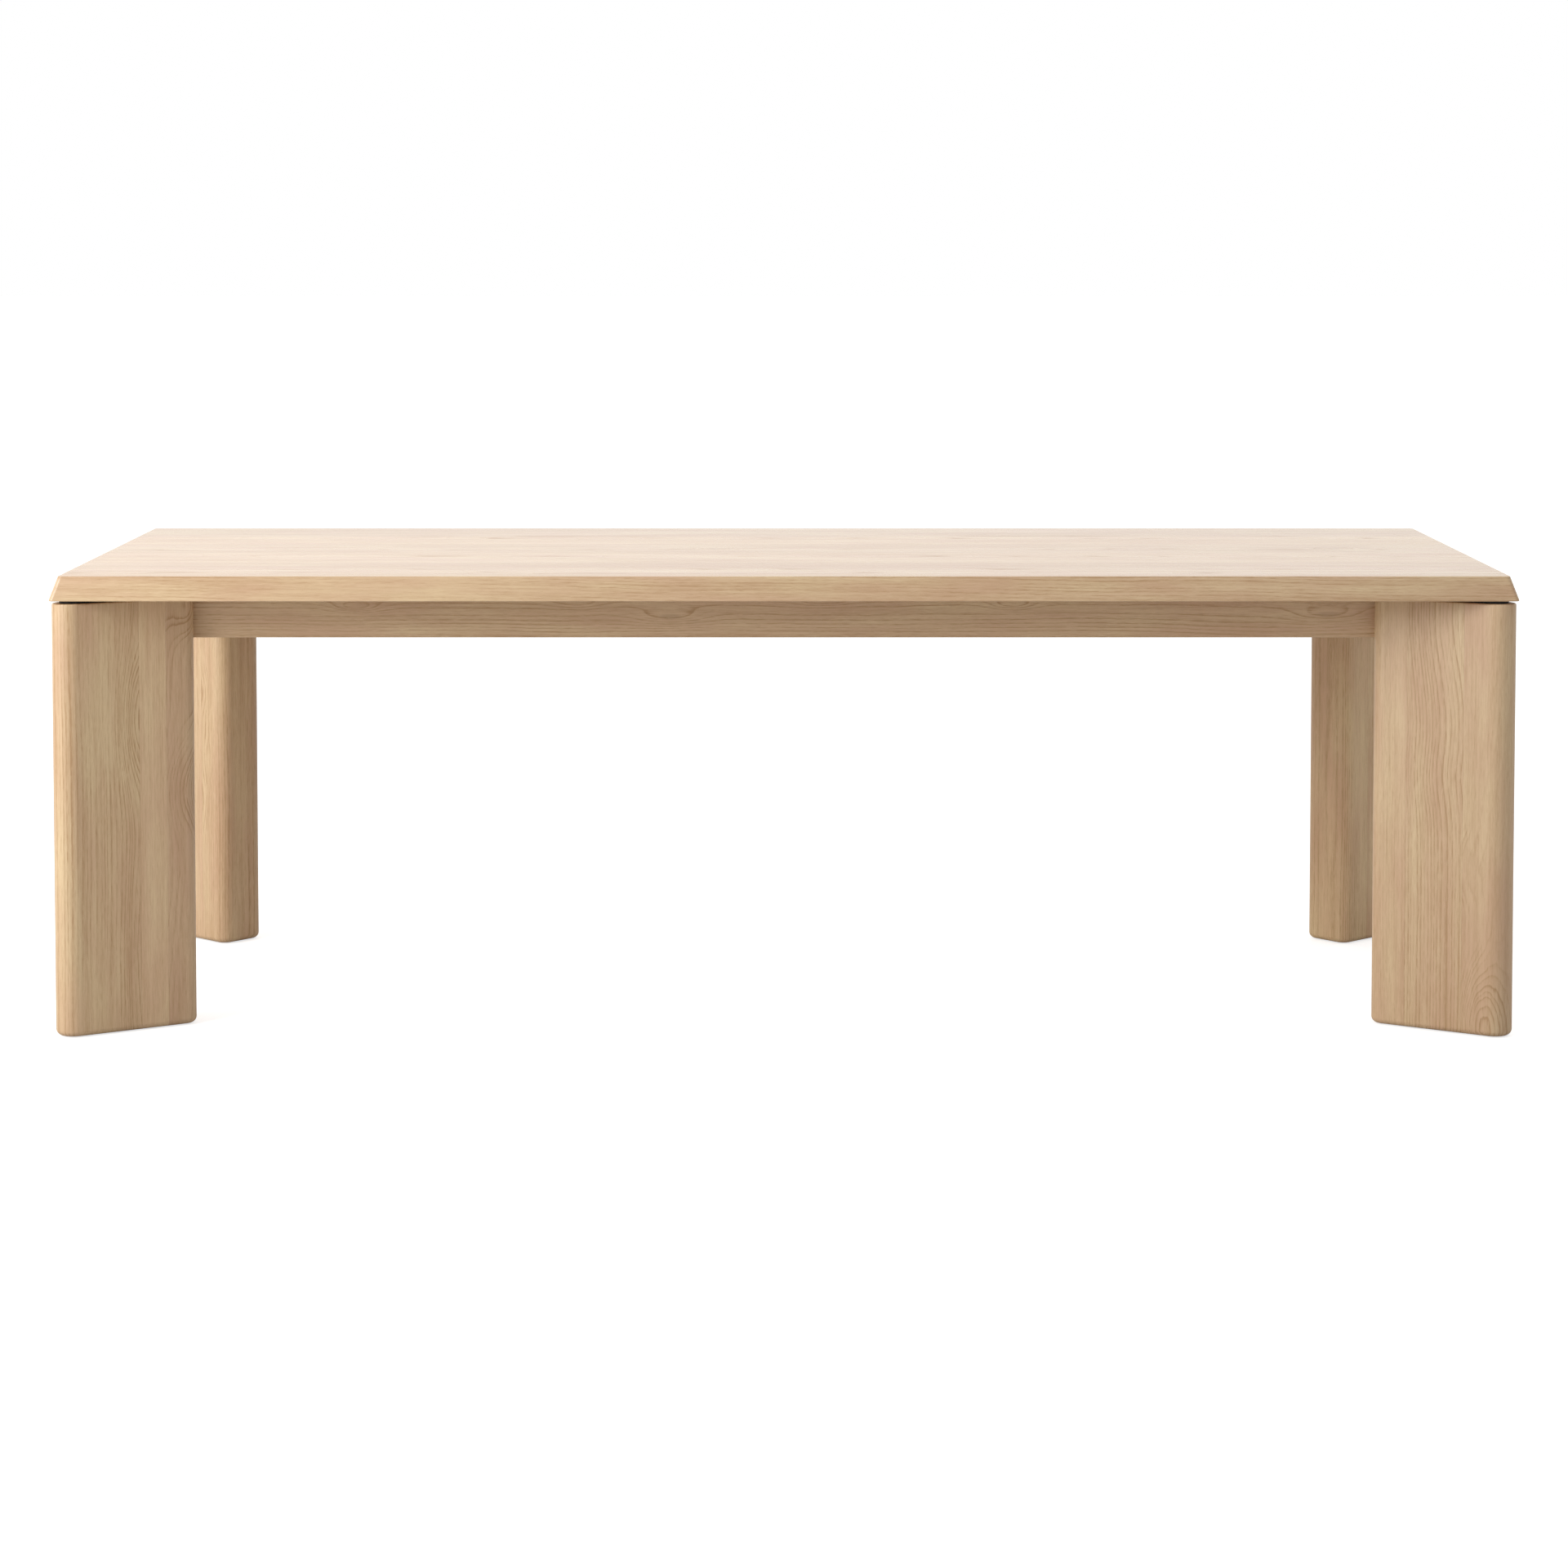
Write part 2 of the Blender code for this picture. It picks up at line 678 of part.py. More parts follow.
def main():
    """Build the whole table."""
    clear_scene()
    materials = {
        "top_oak": make_material("top_oak", (0.76, 0.62, 0.46), 0.45),
        "apron_oak": make_material("apron_oak", (0.68, 0.50, 0.33), 0.50),
        "leg_oak": make_material("leg_oak", (0.70, 0.53, 0.36), 0.50),
        "black_steel": make_material("black_steel", (0.02, 0.02, 0.02), 0.45, 0.0),
        "zinc": make_material("zinc", (0.60, 0.61, 0.63), 0.30, 1.0),
        "nylon": make_material("nylon", (0.03, 0.03, 0.03), 0.55),
    }
    table = add_empty("table")
    boards = make_top(table, materials["top_oak"])
    rails = make_long_rails(table, materials["apron_oak"])
    make_end_rails(table, materials["apron_oak"])
    for side, place in (("left", -BEARER_PLACE), ("right", BEARER_PLACE)):
        screwed = [board_at(boards, -BEARER_SCREW_PLACE), board_at(boards, BEARER_SCREW_PLACE)]
        make_bearer(side, place, rails, screwed, table, materials["apron_oak"], materials["zinc"])
    for corner in CORNERS:
        make_leg(corner, table, boards, materials)


main()
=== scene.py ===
"""Looks of a long oak table with bevelled top edges and four diagonal wedge legs.

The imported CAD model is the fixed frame. Every piece is modelled again here as a finer mesh in
the same place, rides on its CAD body, and gets a procedural material. Oak is solid: its year
rings run through each board, rail and stave, so faces, arrises and end grain agree.
Metres, +Z up, the front of the table is -Y.
"""

import math
from collections import namedtuple

import bmesh
import bpy
from mathutils import Matrix, Vector

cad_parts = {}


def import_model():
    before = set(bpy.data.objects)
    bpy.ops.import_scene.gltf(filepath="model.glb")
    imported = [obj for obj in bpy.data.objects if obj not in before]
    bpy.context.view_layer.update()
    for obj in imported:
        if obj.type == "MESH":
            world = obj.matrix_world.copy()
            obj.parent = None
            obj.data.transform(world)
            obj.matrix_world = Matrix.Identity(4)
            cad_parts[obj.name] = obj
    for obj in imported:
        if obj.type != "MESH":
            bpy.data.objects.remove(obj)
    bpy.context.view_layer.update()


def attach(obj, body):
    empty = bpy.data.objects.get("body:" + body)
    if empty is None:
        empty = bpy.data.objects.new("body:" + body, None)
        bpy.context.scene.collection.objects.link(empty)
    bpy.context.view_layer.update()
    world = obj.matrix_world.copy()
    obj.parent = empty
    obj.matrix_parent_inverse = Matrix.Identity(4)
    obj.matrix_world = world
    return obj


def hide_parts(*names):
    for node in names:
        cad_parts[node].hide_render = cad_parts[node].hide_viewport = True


# Top
LENGTH = 2.4
DEPTH = 1.0
TOP_FACE = 0.76
UNDERSIDE = 0.72
TOP_BEVEL = 0.0132
SLOPE_START = 0.0015
TOP_CORNER_RADIUS = 0.008
UPPER_ARRIS_RADIUS = 0.0013
LOWER_ARRIS_RADIUS = 0.0013
BOARD_JOINTS = (-0.37, -0.233, -0.05, 0.13, 0.295)
GLUE_LINE = 0.0001

# Apron frame
RAIL_THICKNESS = 0.028
RAIL_ARRIS = 0.0016
LONG_RAIL_FACE = 0.353
END_RAIL_FACE = 1.082
FIT_GAP = 0.0003
RAIL_TOP = UNDERSIDE - FIT_GAP
RAIL_BOTTOM = 0.645
BEARER_WIDTH = 0.06
BEARER_HEIGHT = 0.045
BEARER_PLACE = 0.4
BEARER_HOUSING = 0.008
BEARER_LOW = RAIL_TOP - BEARER_HEIGHT
BEARER_SCREW_PLACE = 0.18
BEARER_EDGE = 0.0012
BEARER_SCREW_TIP = 0.742
COUNTERBORE_RADIUS = 0.0075
COUNTERBORE_DEPTH = 0.012

# Wood screw: (radius or flats, depth below the seat) pairs of its pan head, and its thread
PAN_SOCKET = ((0.0034, 0.0012), (0.0036, 0.0032))
PAN_HEAD = ((0.0043, 0.0032), (0.0052, 0.0028), (0.0058, 0.0018), (0.0058, 0.0002), (0.0057, 0.0))
WOOD_SCREW_HOLE_RADIUS = 0.0032
WOOD_SCREW_RADIUS = 0.0026
WOOD_SCREW_THREAD_DEPTH = 0.0007
WOOD_SCREW_PITCH = 0.0018
WOOD_SCREW_POINT = 0.006
WOOD_SCREW_END_RADIUS = 0.0004

# Leg plan, about the centre of its round nose
NOSE_RADIUS = 0.03
NOSE_X = 1.169
NOSE_Y = 0.47
FACE_ANGLE = math.radians(31.9)
BACK_ANGLE = math.radians(43.4)
END_ANGLE = math.radians(131.0)
END_DISTANCE = 0.2077
INNER_RADIUS = 0.0233
AXIS_ANGLE = (FACE_ANGLE + BACK_ANGLE) / 2
FACE_NORMAL = FACE_ANGLE - math.pi / 2
END_NORMAL = END_ANGLE - math.pi / 2
BACK_NORMAL = BACK_ANGLE + math.pi / 2
LEG_BOTTOM = 0.0015
LEG_BOTTOM_RADIUS = 0.0105
LEG_TOP = 0.715
LEG_TOP_RADIUS = 0.0025
STAVE_JOINTS = {
    "front_left": (0.103, 0.15),
    "front_right": (0.042, 0.142),
    "back_left": (0.055, 0.145),
    "back_right": (0.048, 0.14),
}
CORNERS = {
    "front_left": (1, 1),
    "front_right": (-1, 1),
    "back_left": (1, -1),
    "back_right": (-1, -1),
}

# Steel plate and its fasteners
PLATE_INSET = 0.012
PLATE_RAIL_GAP = 0.0006
PLATE_EDGE = 0.0004
GUSSET_LONG = 0.24
GUSSET_DEEP = 0.245
GUSSET_CLIP_X = 0.08
GUSSET_CLIP_Y = 0.067
GUSSET_CORNER_RADIUS = 0.003
GUSSET_CLIP_RADIUS = 0.004
PLATE_SHARP_ANGLE = 20
PLATE_BOLTS = ((0.215, 0.161), (0.137, 0.215))
LEG_SCREWS = (0.02, 0.128)
THREAD_RADIUS = 0.004
THREAD_PITCH = 0.00125
THREAD_DEPTH = 0.0005
END_CHAMFER = 0.001
HOLE_RADIUS = 0.0044
COUNTERSINK_RADIUS = 0.008
COUNTERSINK_DEPTH = 0.004
COUNTERSINK_RIM = 0.0004
LEG_SCREW_LENGTH = 0.06
LEG_SCREW_SMOOTH = 0.02
LEG_SCREW_HOLE_SPARE = 0.0016
PLATE_BOLT_TIP = 0.745
PLATE_BOLT_SMOOTH = 0.006
PLATE_BOLT_HOLE_DEPTH = 0.031
BOLT_HEAD_RADIUS = 0.0068
BOLT_HEAD_HEIGHT = 0.005
BOLT_DOME_RADIUS = 0.003
BOLT_DOME_HEIGHT = 0.004
SOCKET_FLATS = 0.005
SOCKET_DEPTH = 0.0025

# Levelling foot
FOOT_PLACE = 0.078
PAD_RADIUS = 0.018
PAD_HEIGHT = 0.008
RECESS_RADIUS = 0.0205
RECESS_TOP = 0.0165
INSERT_RADIUS = 0.007
INSERT_LENGTH = 0.025
STUD_TOP = 0.054
STUD_HOLE_TOP = 0.06
STUD_HOLE_RADIUS = 0.0048
BORE_RADIUS = 0.0044
BORE_THREAD_DEPTH = 0.0002
KNURL_DEPTH = 0.0003
KNURL_SPAN = (0.15, 0.85)
INSERT_ROWS = 60
INSERT_SHARP_ANGLE = 50
COLLAR_FLATS = 0.013
COLLAR_LOW = 0.0088
COLLAR_HIGH = 0.0143
COLLAR_CHAMFER_HEIGHT = 0.0005
COLLAR_CHAMFER_FLATS = 0.0012
STUD_NECK_RADIUS = 0.0036
BALL_RADIUS = 0.0044
BALL_CENTRE = 0.0068
BALL_HEIGHT = 0.0032
BALL_SPAN = (0.2, 0.62)
BALL_STEPS = 9
SOCKET_RADIUS = 0.0048
SOCKET_FLOOR = 0.0031
PAD_LEDGE_RADIUS = 0.011
PAD_RIM_RADIUS = 0.006
PAD_RIM_DROP = 0.003
PAD_EASE = 0.0003

# Mesh fineness
ROUND = 48
HOLE_ROUND = 32
TOP_CORNER_STEPS = 8
NOSE_STEPS = 40
INNER_STEPS = 18
LEG_BOTTOM_STEPS = 8
LEG_TOP_STEPS = 4
DOME_STEPS = 6
SHARP_ANGLE = 35
OVERCUT = 0.001
TINY = 1e-6

# Oak colours
PALE = (0.73, 0.545, 0.328)
ROSY = (0.655, 0.435, 0.272)
DARK = (0.49, 0.3, 0.155)
KNOT = (0.23, 0.125, 0.06)

# Oak noises: features for each metre along, across and into the wood
WANDER_SCALE = (1.9, 7.0, 7.0)
RIPPLE_SCALE = (11.0, 48.0, 48.0)
SEASON_SCALE = (2.6, 15.0, 15.0)
FIBRE_SCALE = (42.0, 640.0, 640.0)
STREAK_SCALE = (9.0, 300.0, 300.0)
BAND_SCALE = (1.6, 70.0, 70.0)
CLOUD_SCALE = (4.0, 22.0, 22.0)
PORE_SCALE = (75.0, 900.0, 900.0)
RING_LINE = (
    (0.0, 1.0), (0.09, 0.72), (0.22, 0.3), (0.45, 0.09), (0.84, 0.0), (0.94, 0.3), (1.0, 1.0),
)
OAK_RELIEF = 0.00012
ZINC_TONE = (0.62, 0.62, 0.62)
TOP_ROUGHNESS = 0.27
TOP_RELIEF = 0.08

# Stage and light: each side of the surround has its axis, its direction and its brightness
FLOOR_SIZE = 60.0
FLOOR_BOUNCE = 0.6
FLOOR_ROUGHNESS = 0.9
FLOOR_WHITENESS = 0.7
SURROUND = {
    "left": (0, -1.0, 1.35),
    "right": (0, 1.0, 0.48),
    "front": (1, -1.0, 0.41),
    "back": (1, 1.0, 1.3),
    "above": (2, 1.0, 0.79),
}
KEY_POWER = 98.0
KEY_PLACE = (-3.6, -2.4, 2.2)
KEY_TARGET = (0, 0, 0.5)
KEY_SIZE = (2.0, 2.0)

# Camera
CAMERA_PLACE = (0.0, -6.6737, 1.3402)
CAMERA_PITCH = math.radians(3.289)
CAMERA_LENS = 87.33
CAMERA_SENSOR = 36.0
CAMERA_SHIFT = -0.22


# ---- mesh building


def finish_mesh(name, shape, sharp=SHARP_ANGLE):
    """Turn the faces outwards, shade smooth with sharp edges, and store the mesh."""
    bmesh.ops.recalc_face_normals(shape, faces=shape.faces)
    mesh = bpy.data.meshes.new(name)
    shape.to_mesh(mesh)
    shape.free()
    mesh.shade_smooth()
    mesh.set_sharp_from_angle(angle=math.radians(sharp))
    return mesh


def loft_shape(rings, hollow=False):
    """A bmesh through rings of the same count, capped, or with its last ring joined to its first."""
    shape = bmesh.new()
    loops = [[shape.verts.new(point) for point in ring] for ring in rings]
    following = loops[1:] + loops[:1] if hollow else loops[1:]
    for lower, upper in zip(loops, following):
        for i, corner in enumerate(lower):
            j = (i + 1) % len(lower)
            shape.faces.new((corner, lower[j], upper[j], upper[i]))
    if not hollow:
        shape.faces.new(list(reversed(loops[0])))
        shape.faces.new(loops[-1])
    bmesh.ops.recalc_face_normals(shape, faces=shape.faces)
    return shape


def loft(name, rings):
    """A closed mesh through rings of points."""
    return finish_mesh(name, loft_shape(rings))


def moved(mesh, place):
    """The mesh shifted to its place in the row frame."""
    mesh.transform(Matrix.Translation(place))
    return mesh


def at_height(outline, height):
    """Lift a plan outline to a height."""
    return [(x, y, height) for x, y in outline]


def circle(radius, count=ROUND):
    """Plan points of a circle."""
    turns = [math.tau * k / count for k in range(count)]
    return [(radius * math.cos(a), radius * math.sin(a)) for a in turns]


def round_ring(radius, height):
    """A level ring."""
    return at_height(circle(radius), height)


def polar(radius, turn, height):
    """A point at a share of a turn about Z."""
    return (radius * math.cos(turn * math.tau), radius * math.sin(turn * math.tau), height)


def hexagon_ring(across_flats, height):
    """A level ring along a hexagon's sides, with as many points as a round one."""
    points = []
    for k in range(ROUND):
        off_flat = (k / ROUND + 1 / 12) % (1 / 6) - 1 / 12
        points.append(polar(across_flats / 2 / math.cos(off_flat * math.tau), k / ROUND, height))
    return points


def turned(name, profile, count=ROUND):
    """A body turned about Z from (radius, height) pairs, listed from one pole to the other."""
    return loft(name, [at_height(circle(radius, count), height) for radius, height in profile])


def arc(centre, radius, start, end, steps):
    """Points of a counter-clockwise arc, both ends included."""
    while end < start:
        end += math.tau
    turns = [start + (end - start) * k / steps for k in range(steps + 1)]
    return [(centre[0] + radius * math.cos(a), centre[1] + radius * math.sin(a)) for a in turns]


def quarter_turn(steps):
    """Angles from 0 to a right angle."""
    return [math.pi / 2 * k / steps for k in range(steps + 1)]


def fillet(before, corner, after, radius, steps=5):
    """Points that round off a corner of a profile between its two neighbours."""
    corner = Vector(corner)
    a = (Vector(before) - corner).normalized()
    b = (Vector(after) - corner).normalized()
    half = a.angle(b) / 2
    middle = corner + (a + b).normalized() * (radius / math.sin(half))
    start = corner + a * (radius / math.tan(half)) - middle
    end = corner + b * (radius / math.tan(half)) - middle
    sweep = start.angle(end)
    points = []
    for k in range(steps + 1):
        share = k / steps
        mixed = start * math.sin((1 - share) * sweep) + end * math.sin(share * sweep)
        points.append(tuple(middle + mixed / math.sin(sweep)))
    return points


def meet(angle_a, distance_a, angle_b, distance_b):
    """Where two plan lines cross, each given by its normal's angle and its distance."""
    ax, ay = math.cos(angle_a), math.sin(angle_a)
    bx, by = math.cos(angle_b), math.sin(angle_b)
    scale = ax * by - ay * bx
    x = (distance_a * by - distance_b * ay) / scale
    y = (distance_b * ax - distance_a * bx) / scale
    return (x, y)


def face_line(normal_angle, distance, place, axis):
    """Where a leg face's line passes a given local x (axis 0) or local y (axis 1)."""
    x, y = math.cos(normal_angle), math.sin(normal_angle)
    if axis == 0:
        return (distance - x * place) / y
    return (distance - y * place) / x


def cut_away(mesh, cutters):
    """A new mesh with every cutter mesh taken away from it. The cutters are used up."""
    scene = bpy.context.scene.collection
    body = bpy.data.objects.new("being_cut", mesh)
    scene.objects.link(body)
    helpers = [body]
    for cutter in cutters:
        helper = bpy.data.objects.new("cutter", cutter)
        scene.objects.link(helper)
        helpers.append(helper)
        modifier = body.modifiers.new("Cut", "BOOLEAN")
        modifier.operation = "DIFFERENCE"
        modifier.solver = "EXACT"
        modifier.object = helper
    evaluated = body.evaluated_get(bpy.context.evaluated_depsgraph_get())
    made = bpy.data.meshes.new_from_object(evaluated)
    made.name = mesh.name
    for helper in helpers:
        bpy.data.objects.remove(helper)
    for used in [mesh, *cutters]:
        bpy.data.meshes.remove(used)
    made.shade_smooth()
    made.set_sharp_from_angle(angle=math.radians(SHARP_ANGLE))
    return made


# ---- pieces on the frame


def add_piece(node, mesh, material, body):
    """A finer piece that stands for one CAD node and moves with its body."""
    piece = bpy.data.objects.new(f"{node}_fine", mesh)
    bpy.context.scene.collection.objects.link(piece)
    mesh.materials.clear()
    mesh.materials.append(material)
    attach(piece, body)
    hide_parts(node)


def add_zinc(node, mesh, zinc, body="table_frame"):
    """A zinc-plated piece."""
    add_piece(node, mesh, zinc, body)


def add_oak(node, mesh, grain, look):
    """A fixed oak piece with its own figure."""
    add_piece(node, mesh, oak(node, grain, look), "table_frame")


# ---- node trees


class Nodes:
    """Adds nodes to one tree and links them."""

    def __init__(self, tree):
        self.tree = tree

    def feed(self, socket, value):
        """Link an output into a socket, or set the socket's own value."""
        if isinstance(value, bpy.types.NodeSocket):
            self.tree.links.new(value, socket)
        elif socket.type == "RGBA":
            socket.default_value = (*value, 1.0)
        else:
            socket.default_value = value

    def node(self, kind, *values, **settings):
        """A new node with its settings, and values fed into its first sockets."""
        node = self.tree.nodes.new(f"ShaderNode{kind}")
        for name, setting in settings.items():
            setattr(node, name, setting)
        for socket, value in zip(node.inputs, values):
            self.feed(socket, value)
        return node

    def coordinates(self, kind="Object"):
        """Place in the piece's own mesh, which is the row frame at rest, or another kind."""
        return self.node("TexCoord").outputs[kind]

    def math(self, operation, *values, clamp=False):
        """One Math node's result."""
        return self.node("Math", *values, operation=operation, use_clamp=clamp).outputs[0]

    def vector(self, operation, *values):
        """One Vector Math node's result."""
        outputs = self.node("VectorMath", *values, operation=operation).outputs
        return outputs["Value" if operation in ("DOT_PRODUCT", "LENGTH") else "Vector"]

    def combine(self, x, y, z):
        """A vector from three numbers."""
        return self.node("CombineXYZ", x, y, z).outputs[0]

    def separate(self, vector):
        """The three numbers of a vector."""
        return self.node("SeparateXYZ", vector).outputs

    def noise(self, place, detail=2.0, roughness=0.5):
        """A noise texture: its value and its colour."""
        node = self.node("TexNoise", place)
        for name, number in (("Scale", 1.0), ("Detail", detail), ("Roughness", roughness)):
            node.inputs[name].default_value = number
        return node.outputs["Fac"], node.outputs["Color"]

    def cloud(self, place, scales, shift, detail=2.0, roughness=0.5):
        """A noise with its own scale in each direction, moved on so that pieces differ."""
        place = self.vector("ADD", self.vector("MULTIPLY", place, scales), shift)
        return self.noise(place, detail, roughness)

    def spread(self, value, low, high, to_low=0.0, to_high=1.0, smooth=False):
        """Map a range onto another, clamped."""
        curve = "SMOOTHSTEP" if smooth else "LINEAR"
        node = self.node("MapRange", value, low, high, to_low, to_high, interpolation_type=curve)
        return node.outputs[0]

    def ramp(self, value, stops):
        """A colour ramp through (position, colour) stops."""
        node = self.node("ValToRGB", value)
        band = node.color_ramp.elements
        while len(band) < len(stops):
            band.new(0.5)
        for element, (position, colour) in zip(band, stops):
            element.position = position
            element.color = (*colour, 1.0)
        return node.outputs[0]

    def mix(self, share, first, second):
        """A colour mix."""
        node = self.node("Mix", share, data_type="RGBA")
        self.feed(node.inputs[6], first)
        self.feed(node.inputs[7], second)
        return node.outputs[2]

    def from_camera(self):
        """1 for what the camera sees directly, 0 for light that bounces."""
        return self.node("LightPath").outputs["Is Camera Ray"]


class Material(Nodes):
    """A new material's tree, with its shader at hand."""

    def __init__(self, name):
        self.material = bpy.data.materials.new(name)
        self.material.use_nodes = True
        super().__init__(self.material.node_tree)
        self.shader = self.tree.nodes["Principled BSDF"]

    def set(self, name, value):
        """Link an output into one of the shader's inputs, or set its value."""
        self.feed(self.shader.inputs[name], value)

    def bump(self, height, strength, distance):
        """Small relief on the shader's normal."""
        node = self.node("Bump", strength, distance)
        self.feed(node.inputs["Height"], height)
        self.set("Normal", node.outputs[0])


# ---- oak


Grain = namedtuple("Grain", "origin along across deep")
Eye = namedtuple("Eye", "along across length width swell shown heart", defaults=(1.0, 0.0))


def grain_place(nodes, grain):
    """Coordinates along, across and into the piece."""
    place = nodes.vector("SUBTRACT", nodes.coordinates(), grain.origin)
    along = nodes.vector("DOT_PRODUCT", place, grain.along)
    across = nodes.vector("DOT_PRODUCT", place, grain.across)
    deep = nodes.vector("DOT_PRODUCT", place, grain.deep)
    return along, across, deep, nodes.combine(along, across, deep)


def eye_masks(nodes, along, across, eyes):
    """How far eyes swell the year rings, how clearly they show, and how dark the hearts are."""
    swell, shown, heart = 0.0, 0.0, 0.0
    for eye in eyes:
        x = nodes.math("DIVIDE", nodes.math("SUBTRACT", along, eye.along), eye.length)
        y = nodes.math("DIVIDE", nodes.math("SUBTRACT", across, eye.across), eye.width)
        away = nodes.math("MULTIPLY_ADD", y, y, nodes.math("MULTIPLY", x, x))
        near = nodes.math("EXPONENT", nodes.math("MULTIPLY", away, -1.0))
        swell = nodes.math("MULTIPLY_ADD", near, eye.swell, swell)
        if eye.shown:
            shown = nodes.math("MAXIMUM", nodes.spread(near, 0.08, 0.45, 0.0, eye.shown), shown)
        if eye.heart:
            core = nodes.spread(away, 0.16, 0.01, 0.0, eye.heart, smooth=True)
            heart = nodes.math("MAXIMUM", core, heart)
    return swell, shown, heart


def shake(nodes, place, scale, shift, amount, detail, roughness=0.5):
    """A noise in all three directions, centred on 0."""
    colour = nodes.cloud(place, scale, shift, detail, roughness)[1]
    return nodes.vector("MULTIPLY", nodes.vector("SUBTRACT", colour, (0.5,) * 3), (amount,) * 3)


def ring_radius(nodes, look, along, across, deep, place, shift):
    """Distance from the wandering, leaning pith, swollen at eyes and knots."""
    wander = shake(nodes, place, WANDER_SCALE, shift, look["wander"], 1.5)
    ripple = shake(nodes, place, RIPPLE_SCALE, shift, look["ripple"], 2.0, 0.6)
    bent = nodes.separate(nodes.vector("ADD", wander, ripple))
    pith_across, pith_deep = look["pith"]
    lean_across, lean_deep = look["lean"]
    sideways = nodes.math("MULTIPLY_ADD", along, -lean_across, across)
    sideways = nodes.math("ADD", nodes.math("SUBTRACT", sideways, pith_across), bent[1])
    inwards = nodes.math("MULTIPLY_ADD", along, -lean_deep, deep)
    inwards = nodes.math("ADD", nodes.math("SUBTRACT", inwards, pith_deep), bent[2])
    radius = nodes.vector("LENGTH", nodes.combine(0.0, sideways, inwards))
    swell, shown, heart = eye_masks(nodes, along, across, look["eyes"])
    return nodes.math("ADD", radius, swell), shown, heart


def year_rings(nodes, look, radius, shown, place, shift):
    """How dark the year rings make the wood: thin porous lines, some years strong, some faint."""
    seed = look["seed"]
    uneven = nodes.combine(nodes.math("MULTIPLY", radius, 42.0), seed, 0.0)
    uneven = nodes.noise(uneven, 1.0)[0]
    ring = nodes.math("DIVIDE", radius, look["spacing"])
    phase = nodes.math("FRACT", nodes.math("MULTIPLY_ADD", uneven, 3.0, ring))
    line = nodes.ramp(phase, [(position, (dark,) * 3) for position, dark in RING_LINE])
    year = nodes.combine(nodes.math("MULTIPLY", ring, 0.62), seed, 5.0)
    year = nodes.spread(nodes.noise(year, 1.0)[0], 0.36, 0.62, 0.2, 1.0)
    season = nodes.cloud(place, SEASON_SCALE, shift, 2.0)[0]
    season = nodes.spread(season, 0.36, 0.62, look["faint"], look["clear"])
    season = nodes.math("MAXIMUM", season, shown)
    return nodes.math("MULTIPLY", nodes.math("MULTIPLY", line, year), season)


def oak(name, grain, look):
    """Solid oak whose year rings circle a pith that lies beside or under the piece."""
    nodes = Material(name)
    seed = look["seed"]
    shift = (seed * 7.31, seed * 3.17, seed * 5.73)
    along, across, deep, place = grain_place(nodes, grain)
    radius, shown, heart = ring_radius(nodes, look, along, across, deep, place, shift)
    figure = year_rings(nodes, look, radius, shown, place, shift)

    fibre = nodes.cloud(place, FIBRE_SCALE, shift, 2.0, 0.7)[0]
    streak = nodes.cloud(place, STREAK_SCALE, shift, 2.0, 0.6)[0]
    band = nodes.cloud(place, BAND_SCALE, shift, 3.0, 0.6)[0]
    cloud = nodes.cloud(place, CLOUD_SCALE, shift, 2.0, 0.5)[0]
    pore = nodes.cloud(place, PORE_SCALE, shift, 1.0)[0]
    pore = nodes.spread(pore, 0.56, 0.68)
    pore = nodes.math("MULTIPLY", pore, nodes.math("MULTIPLY_ADD", figure, 0.6, 0.4))
    dashes = nodes.spread(fibre, 0.3, 0.7, 0.35, 1.5)

    dark = nodes.math("MULTIPLY", nodes.math("MULTIPLY", figure, dashes), look["contrast"])
    dark = nodes.math("ADD", dark, nodes.spread(fibre, 0.25, 0.75, -0.24, 0.26))
    dark = nodes.math("ADD", dark, nodes.spread(streak, 0.25, 0.75, -0.18, 0.2))
    dark = nodes.math("ADD", dark, nodes.spread(band, 0.3, 0.7, -0.17, 0.21))
    dark = nodes.math("MULTIPLY_ADD", pore, 0.4, dark)
    dark = nodes.math("ADD", dark, look["depth"], clamp=True)
    rosy = nodes.spread(cloud, 0.34, 0.66)
    pale_colour = nodes.mix(rosy, tinted(PALE, look["tint"]), tinted(ROSY, look["tint"]))
    colour = nodes.mix(dark, pale_colour, tinted(DARK, look["tint"]))
    if any(eye.heart for eye in look["eyes"]):
        colour = nodes.mix(heart, colour, KNOT)
    nodes.set("Base Color", colour)

    nodes.set("Roughness", nodes.math("MULTIPLY_ADD", figure, 0.1, look["roughness"]))
    relief = nodes.math("MULTIPLY_ADD", figure, -0.35, nodes.math("MULTIPLY", fibre, 0.5))
    relief = nodes.math("MULTIPLY_ADD", pore, -0.8, relief)
    nodes.bump(relief, look["relief"], OAK_RELIEF)
    return nodes.material


def tinted(colour, tint):
    """A colour scaled channel by channel."""
    return tuple(c * t for c, t in zip(colour, tint))


def oak_look(seed, pith, lean=(0.0, 0.0), spacing=0.0042, **changes):
    """An oak piece's figure: where its pith is, how it leans, and how strong its rings show."""
    look = {
        "seed": float(seed),
        "pith": pith,
        "lean": lean,
        "spacing": spacing,
        "wander": 0.016,
        "ripple": 0.0016,
        "faint": 0.15,
        "clear": 1.0,
        "contrast": 1.15,
        "depth": 0.12,
        "tint": (1.0, 1.0, 1.0),
        "roughness": 0.42,
        "relief": 0.35,
        "eyes": (),
    }
    look.update(changes)
    return look


# ---- metal and nylon


